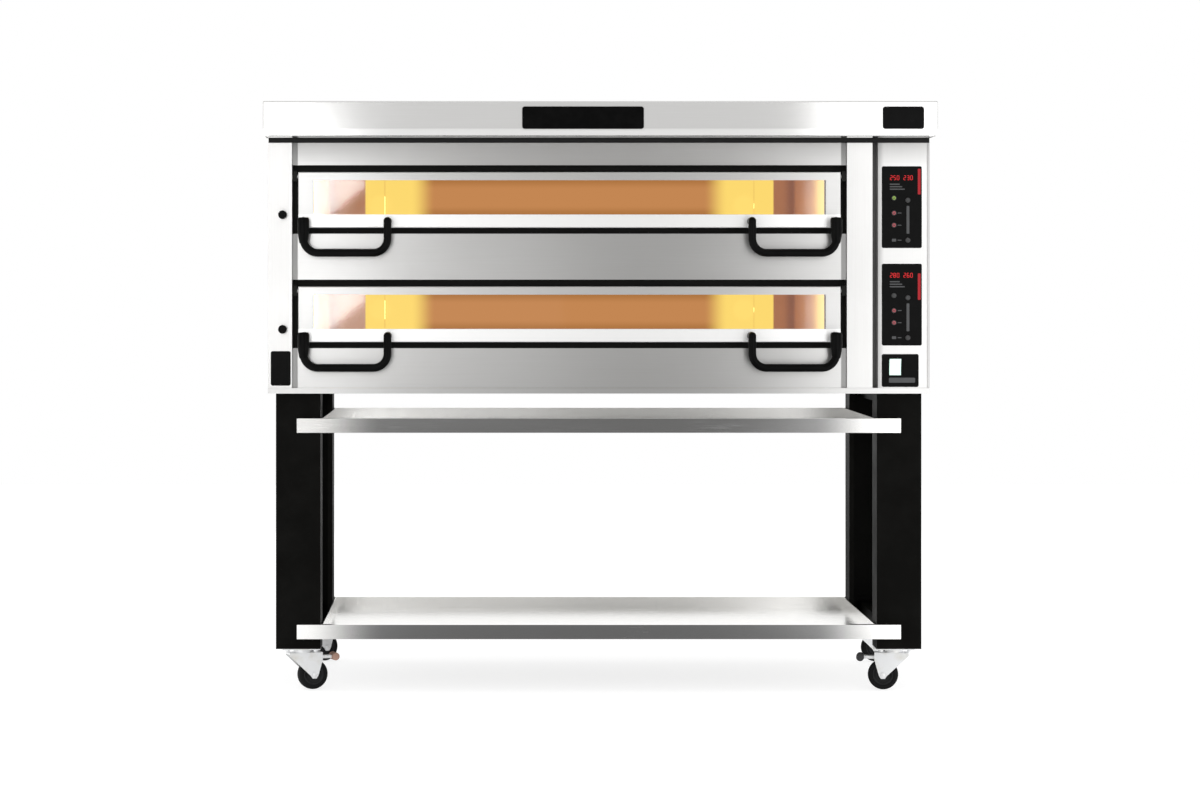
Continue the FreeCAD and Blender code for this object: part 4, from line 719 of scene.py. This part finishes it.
def panel_marks(level):
    """Display, legends and level strip on one control panel."""
    power_low, power_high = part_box(f"key_{level}_power")
    down_low, down_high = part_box(f"key_{level}_lower")
    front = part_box("control_panels")[0].y - 0.0003
    left_x = (power_low.x + power_high.x) / 2
    right_x = (down_low.x + down_high.x) / 2
    bottom = (power_low.z + power_high.z) / 2 - POWER_KEY_RISE
    display_digits(level, left_x - 0.0112, bottom + 0.190, front)

    def draw_legends(drawing):
        first_line = bottom + 0.163
        for row in spaced(first_line, bottom + 0.177, 3):
            draw_mark(drawing, left_x - 0.012, left_x + 0.030 - (row - first_line),
                      row, row + 0.0034, front, 0.001)
        draw_mark(drawing, right_x - 0.004, right_x + 0.004, bottom + 0.040,
                  bottom + 0.118, front)
        for row in (0.098, 0.064, 0.022):
            draw_mark(drawing, left_x + 0.010, left_x + 0.021, bottom + row - 0.0012,
                      bottom + row + 0.0012, front, 0.001)
        draw_mark(drawing, left_x - 0.006, left_x + 0.006, bottom + 0.018,
                  bottom + 0.026, front)

    name = f"legends_{level}"
    add_piece(name, new_mesh(name, draw_legends), "grey_legend", "root")
    strip_low, strip_high = STRIP_HEIGHTS[level]
    strip = new_mesh(f"level_strip_{level}", lambda drawing: draw_mark(
        drawing, COLUMN_HIGH.x - 0.0345, COLUMN_HIGH.x - 0.0265,
        bottom + strip_low, bottom + strip_high, front))
    add_piece(f"level_strip_{level}", strip, "strip_red", "root")


def key_lens(level, key, look):
    """Symbol on a key's face: a ring with a bar through its top."""
    low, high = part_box(f"key_{level}_{key}")
    centre = Vector(((low.x + high.x) / 2, low.y, (low.z + high.z) / 2))
    inner, outer, proud = 0.0030, 0.0046, 0.0003
    ring = [(inner, 0.0), (inner, proud), (outer, proud), (outer, 0.0), (inner, 0.0)]

    def build(drawing):
        draw_turned(drawing, ring, centre, (0, -1, 0), 32)
        draw_plate(drawing, centre.x - 0.0006, centre.x + 0.0006, centre.z - 0.001,
                   centre.z + 0.0055, centre.y - 0.0004, 0.0004, 0.0004, 0.0001)

    name = f"lens_{level}_{key}"
    add_piece(name, new_mesh(name, build), look, f"push_{level}_{key}")


def switch_bar():
    """Status bar under the main switch."""
    low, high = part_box("switch_plate")
    rocker_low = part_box("rocker_switch")[0]
    bar = plate_mesh("switch_bar", rocker_low.x, high.x - 0.010, low.z + 0.012,
                     low.z + 0.026, low.y + 0.0018, 0.0004, 0.003, 0.0001)
    add_piece("switch_bar", bar, "grey_legend", "root")


# ---------------------------------------------------------------- hood and casing
def badge(name, left, right, bottom, top, front, radius):
    """A blank plate with a rounded front edge."""
    plate = plate_mesh(name, left, right, bottom, top, front - 0.0003, 0.0014, radius, 0.0004)
    piece = add_piece(name, plate, "black_panel", "root")
    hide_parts("badge_plates")


def badges():
    """Two blank plates on the hood and an upright one on the front post."""
    low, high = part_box("badge_plates")
    height = 0.062
    for name, left, right in (("badge_wide", -0.216, 0.120), ("badge_hood", 0.780, 0.894)):
        badge(name, left, right, high.z - height, high.z, low.y, 0.007)
    badge("badge_post", low.x, low.x + 0.056, low.z, low.z + 0.097, FRONT, 0.006)


def hood_shadow_strip():
    """Thin black strip along the casing's front just under the hood: a painted shadow of the
    hood's overhang.
    """
    top = HOOD_LOW.z - 0.0005
    height, thick = 0.0145, 0.0021
    shadow_strip = plate_mesh("hood_shadow_strip", BODY_LEFT + 0.002, BODY_RIGHT - 0.002, top - height, top,
                      FRONT - thick - 0.0001, thick, 0.001, 0.0007)
    add_piece("hood_shadow_strip", shadow_strip, "black_shadow_strip", "root")


def door_cover(level):
    """Back sheet of a door, closing its hollow frame round the window, with its screws."""
    low, high = DOOR_BOXES[level]
    glass_low, glass_high = GLASS_BOXES[level]
    inset, margin, sheet, corner = 0.003, 0.004, 0.0016, 0.002
    left, right = DECK_CENTRE - PANEL_HALF + inset, DECK_CENTRE + PANEL_HALF - inset
    y = high.y - sheet
    outer = ring_points(left, right, low.z + inset, high.z - inset, corner)
    inner = ring_points(glass_low.x - margin, glass_high.x + margin, glass_low.z - margin,
                        glass_high.z + margin, corner)

    def build(drawing):
        rings = []
        for points, level_y in ((inner, y), (inner, high.y), (outer, high.y), (outer, y)):
            rings.append([drawing.verts.new((u, level_y, v)) for u, v in points])
        for first, second in zip(rings, rings[1:] + rings[:1]):
            bridge(drawing, first, second)

    name = f"door_cover_{level}"
    add_piece(name, new_mesh(name, build), "steel_door", f"door_{level}")
    places = [
        (x, high.y - 0.0002, z)
        for x in spaced(left + 0.03, right - 0.03, 9)
        for z in (low.z + 0.014, high.z - 0.010)
    ]
    screws(f"door_screws_{level}", places, (0, 1, 0), "zinc", f"door_{level}")


def handle_boots(level):
    """Moulded sleeves that thicken the outer legs of a door's two handles."""
    low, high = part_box(f"door_handles_{level}")
    bottom = low.z + TUBE_RADIUS + 0.026
    height = high.z - 0.0005 - bottom
    sleeve = [
        (0.0100, 0.0), (0.0118, 0.003), (0.0150, 0.020), (0.0165, 0.034), (0.0165, height - 0.007),
        (0.0140, height - 0.001), (0.0006, height),
    ]

    def build(drawing):
        for x in (low.x + TUBE_RADIUS, high.x - TUBE_RADIUS):
            foot = Vector((x, low.y + TUBE_RADIUS, bottom))
            draw_turned(drawing, sleeve, foot, Vector((0, 0, 1)))

    name = f"handle_boots_{level}"
    add_piece(name, new_mesh(name, build), "black_handle", f"door_{level}")


def casing_screws():
    """Screw rows along the edges of the side and rear sheets."""
    top_row = ROOF - 0.075
    for side, x, outward in (("left", BODY_LEFT, -1), ("right", BODY_RIGHT, 1)):
        places = [
            (x, y, z)
            for y in spaced(FRONT + 0.06, BACK - 0.03, 6)
            for z in (BODY_BOTTOM + 0.030, top_row)
        ]
        screws(f"side_screws_{side}", places, (outward, 0, 0))
    left, right = BODY_LEFT + 0.035, BODY_RIGHT - 0.035
    rear_places = [
        (x, BACK, z) for x in spaced(left, right, 9) for z in (BODY_BOTTOM + 0.032, top_row)
    ]
    rear_places += [
        (x, BACK, z) for x in (left, right) for z in spaced(BODY_BOTTOM + 0.17, ROOF - 0.2, 4)
    ]
    screws("rear_screws", rear_places, (0, 1, 0))


for wheel_corner in CORNERS:
    wheel_pieces(wheel_corner)
    axle_nuts(wheel_corner)
for pedal_side in ("left", "right"):
    foot_sleeve(pedal_side)
for deck in DECKS:
    panel_marks(deck)
    door_cover(deck)
    handle_boots(deck)
for deck, power_look in (("upper", "glow_green"), ("lower", "grey_legend")):
    key_lens(deck, "power", power_look)
    key_lens(deck, "top_heat", "glow_pink")
    key_lens(deck, "floor_heat", "glow_pink")
for deck in ("upper", "lower"):
    key_lens(deck, "raise", "grey_legend")
    key_lens(deck, "lower", "grey_legend")
switch_bar()
badges()
hood_shadow_strip()
casing_screws()

# ---------------------------------------------------------------- floor, light and camera
WALL_BRIGHTNESS = 0.40
CAMERA_PLACE = (-0.305, FRONT - 8.4, 1.128)
LENS = 90.0
SHIFT = 110 / 1200  # of the frame's width, to the right and down


def paper(name, colour, glow):
    """Matt studio paper with a barely visible tooth, lit from below.

    In reflections, its middle is dim and its sides are bright.
    """
    shader = Shader(name)
    tooth = shader.noise((1, 1, 1), size=60.0, detail=3.0)
    darker = tuple(part * 0.985 for part in colour)
    shader.drive("Base Color", shader.blend(tooth, darker, colour))
    path = shader.add("ShaderNodeLightPath")
    aside = shader.fade(shader.away("X", 0.0), 0.60, 1.00, 0.0, 0.9, smooth=True)
    seen = shader.math("MULTIPLY", path.outputs["Is Glossy Ray"], aside)
    direct = shader.fade(path.outputs["Is Glossy Ray"], 0.0, 1.0, glow, 0.0)
    shader.drive("Emission Strength", shader.math("ADD", seen, direct))
    shader.set(Roughness=0.9, Specular_IOR_Level=0.1, Emission_Color=(1.0, 1.0, 1.0, 1.0))
    return shader.material


def make_floor():
    """A pale sheet, lit from below like a light table."""
    mesh = bpy.data.meshes.new("floor")
    left, right, near, far = -8.0, 8.0, FRONT - 3.8, BACK + 8.0
    corners = [(left, near, 0), (right, near, 0), (right, far, 0), (left, far, 0)]
    mesh.from_pydata(corners, [], [(0, 1, 2, 3)])
    mesh.materials.append(paper("floor_paper", (0.32, 0.32, 0.32), 0.76))
    floor = bpy.data.objects.new("floor", mesh)
    bpy.context.scene.collection.objects.link(floor)


def soft_box(name, place, aim, width, height, brightness, turn=0.0):
    """A rectangular studio light of even brightness that the camera itself doesn't see."""
    data = bpy.data.lights.new(name, "AREA")
    data.shape = "RECTANGLE"
    data.size = width
    data.size_y = height
    data.energy = brightness * math.pi * width * height
    light = bpy.data.objects.new(name, data)
    light.location = place
    direction = Vector(aim) - Vector(place)
    light.rotation_mode = "QUATERNION"
    roll = Quaternion((0, 0, 1), math.radians(turn))
    light.rotation_quaternion = direction.to_track_quat("-Z", "Y") @ roll
    light.visible_camera = False
    bpy.context.scene.collection.objects.link(light)


def make_world():
    """A white studio whose far walls look dimmer in the polished metal."""
    world = bpy.data.worlds.new("studio")
    bpy.context.scene.world = world
    world.use_nodes = True
    tree = world.node_tree
    white = tree.nodes["Background"]
    white.inputs["Color"].default_value = (1.0, 1.0, 1.0, 1.0)
    white.inputs["Strength"].default_value = 1.0
    dim = tree.nodes.new("ShaderNodeBackground")
    dim.inputs["Color"].default_value = (1.0, 0.99, 0.97, 1.0)
    dim.inputs["Strength"].default_value = WALL_BRIGHTNESS
    path = tree.nodes.new("ShaderNodeLightPath")
    mix = tree.nodes.new("ShaderNodeMixShader")
    tree.links.new(path.outputs["Is Glossy Ray"], mix.inputs["Fac"])
    tree.links.new(white.outputs["Background"], mix.inputs[1])
    tree.links.new(dim.outputs["Background"], mix.inputs[2])
    tree.links.new(mix.outputs["Shader"], tree.nodes["World Output"].inputs["Surface"])


def soft_boxes():
    """Studio lights: in front facing straight back, at both sides, above and behind."""
    for name, x, z, width, height, brightness in (
        ("light_left", -2.04, 1.725, 2.3, 2.05, 1.12),
        ("light_right", 1.95, 1.725, 2.2, 2.05, 1.40),
        ("light_low_left", -2.04, 0.10, 2.3, 0.92, 0.55),
        ("light_low_right", 1.95, 0.16, 2.2, 1.04, 1.10),
    ):
        soft_box(name, (x, -3.0, z), (x, 0.0, z), width, height, brightness)
    soft_box("light_fill", (-0.46, -3.1, 1.13), (-0.46, 0.0, 1.13), 0.85, 0.56, 0.80)
    for name, x in (("light_side_left", -5.0), ("light_side_right", 5.0)):
        soft_box(name, (x, -0.3, 1.3), (0.0, -0.3, 1.3), 4.0, 3.0, 0.75)
    soft_box("light_top", (0.0, -0.5, 5.0), (0.0, 0.0, 0.0), 5.0, 4.0, 0.5)
    soft_box("light_back", (0.0, 5.0, 1.6), (0.0, 0.0, 0.9), 7.0, 3.0, 0.72)
    for name, z in (("kick_upper", 1.501), ("kick_lower", 1.086)):
        soft_box(name, (-0.912, -2.9, z), (-0.912, 0.0, z), 0.26, 0.19, 4.0, 40)


def make_camera():
    """A long lens kept level, its shift framing the oven."""
    data = bpy.data.cameras.new("camera")
    data.lens = LENS
    data.shift_x = SHIFT
    data.shift_y = -SHIFT
    camera = bpy.data.objects.new("camera", data)
    camera.location = CAMERA_PLACE
    camera.rotation_euler = (math.radians(90), 0, 0)
    bpy.context.scene.collection.objects.link(camera)
    bpy.context.scene.camera = camera


make_floor()
make_world()
soft_boxes()
make_camera()
bpy.context.scene.view_settings.view_transform = "Standard"
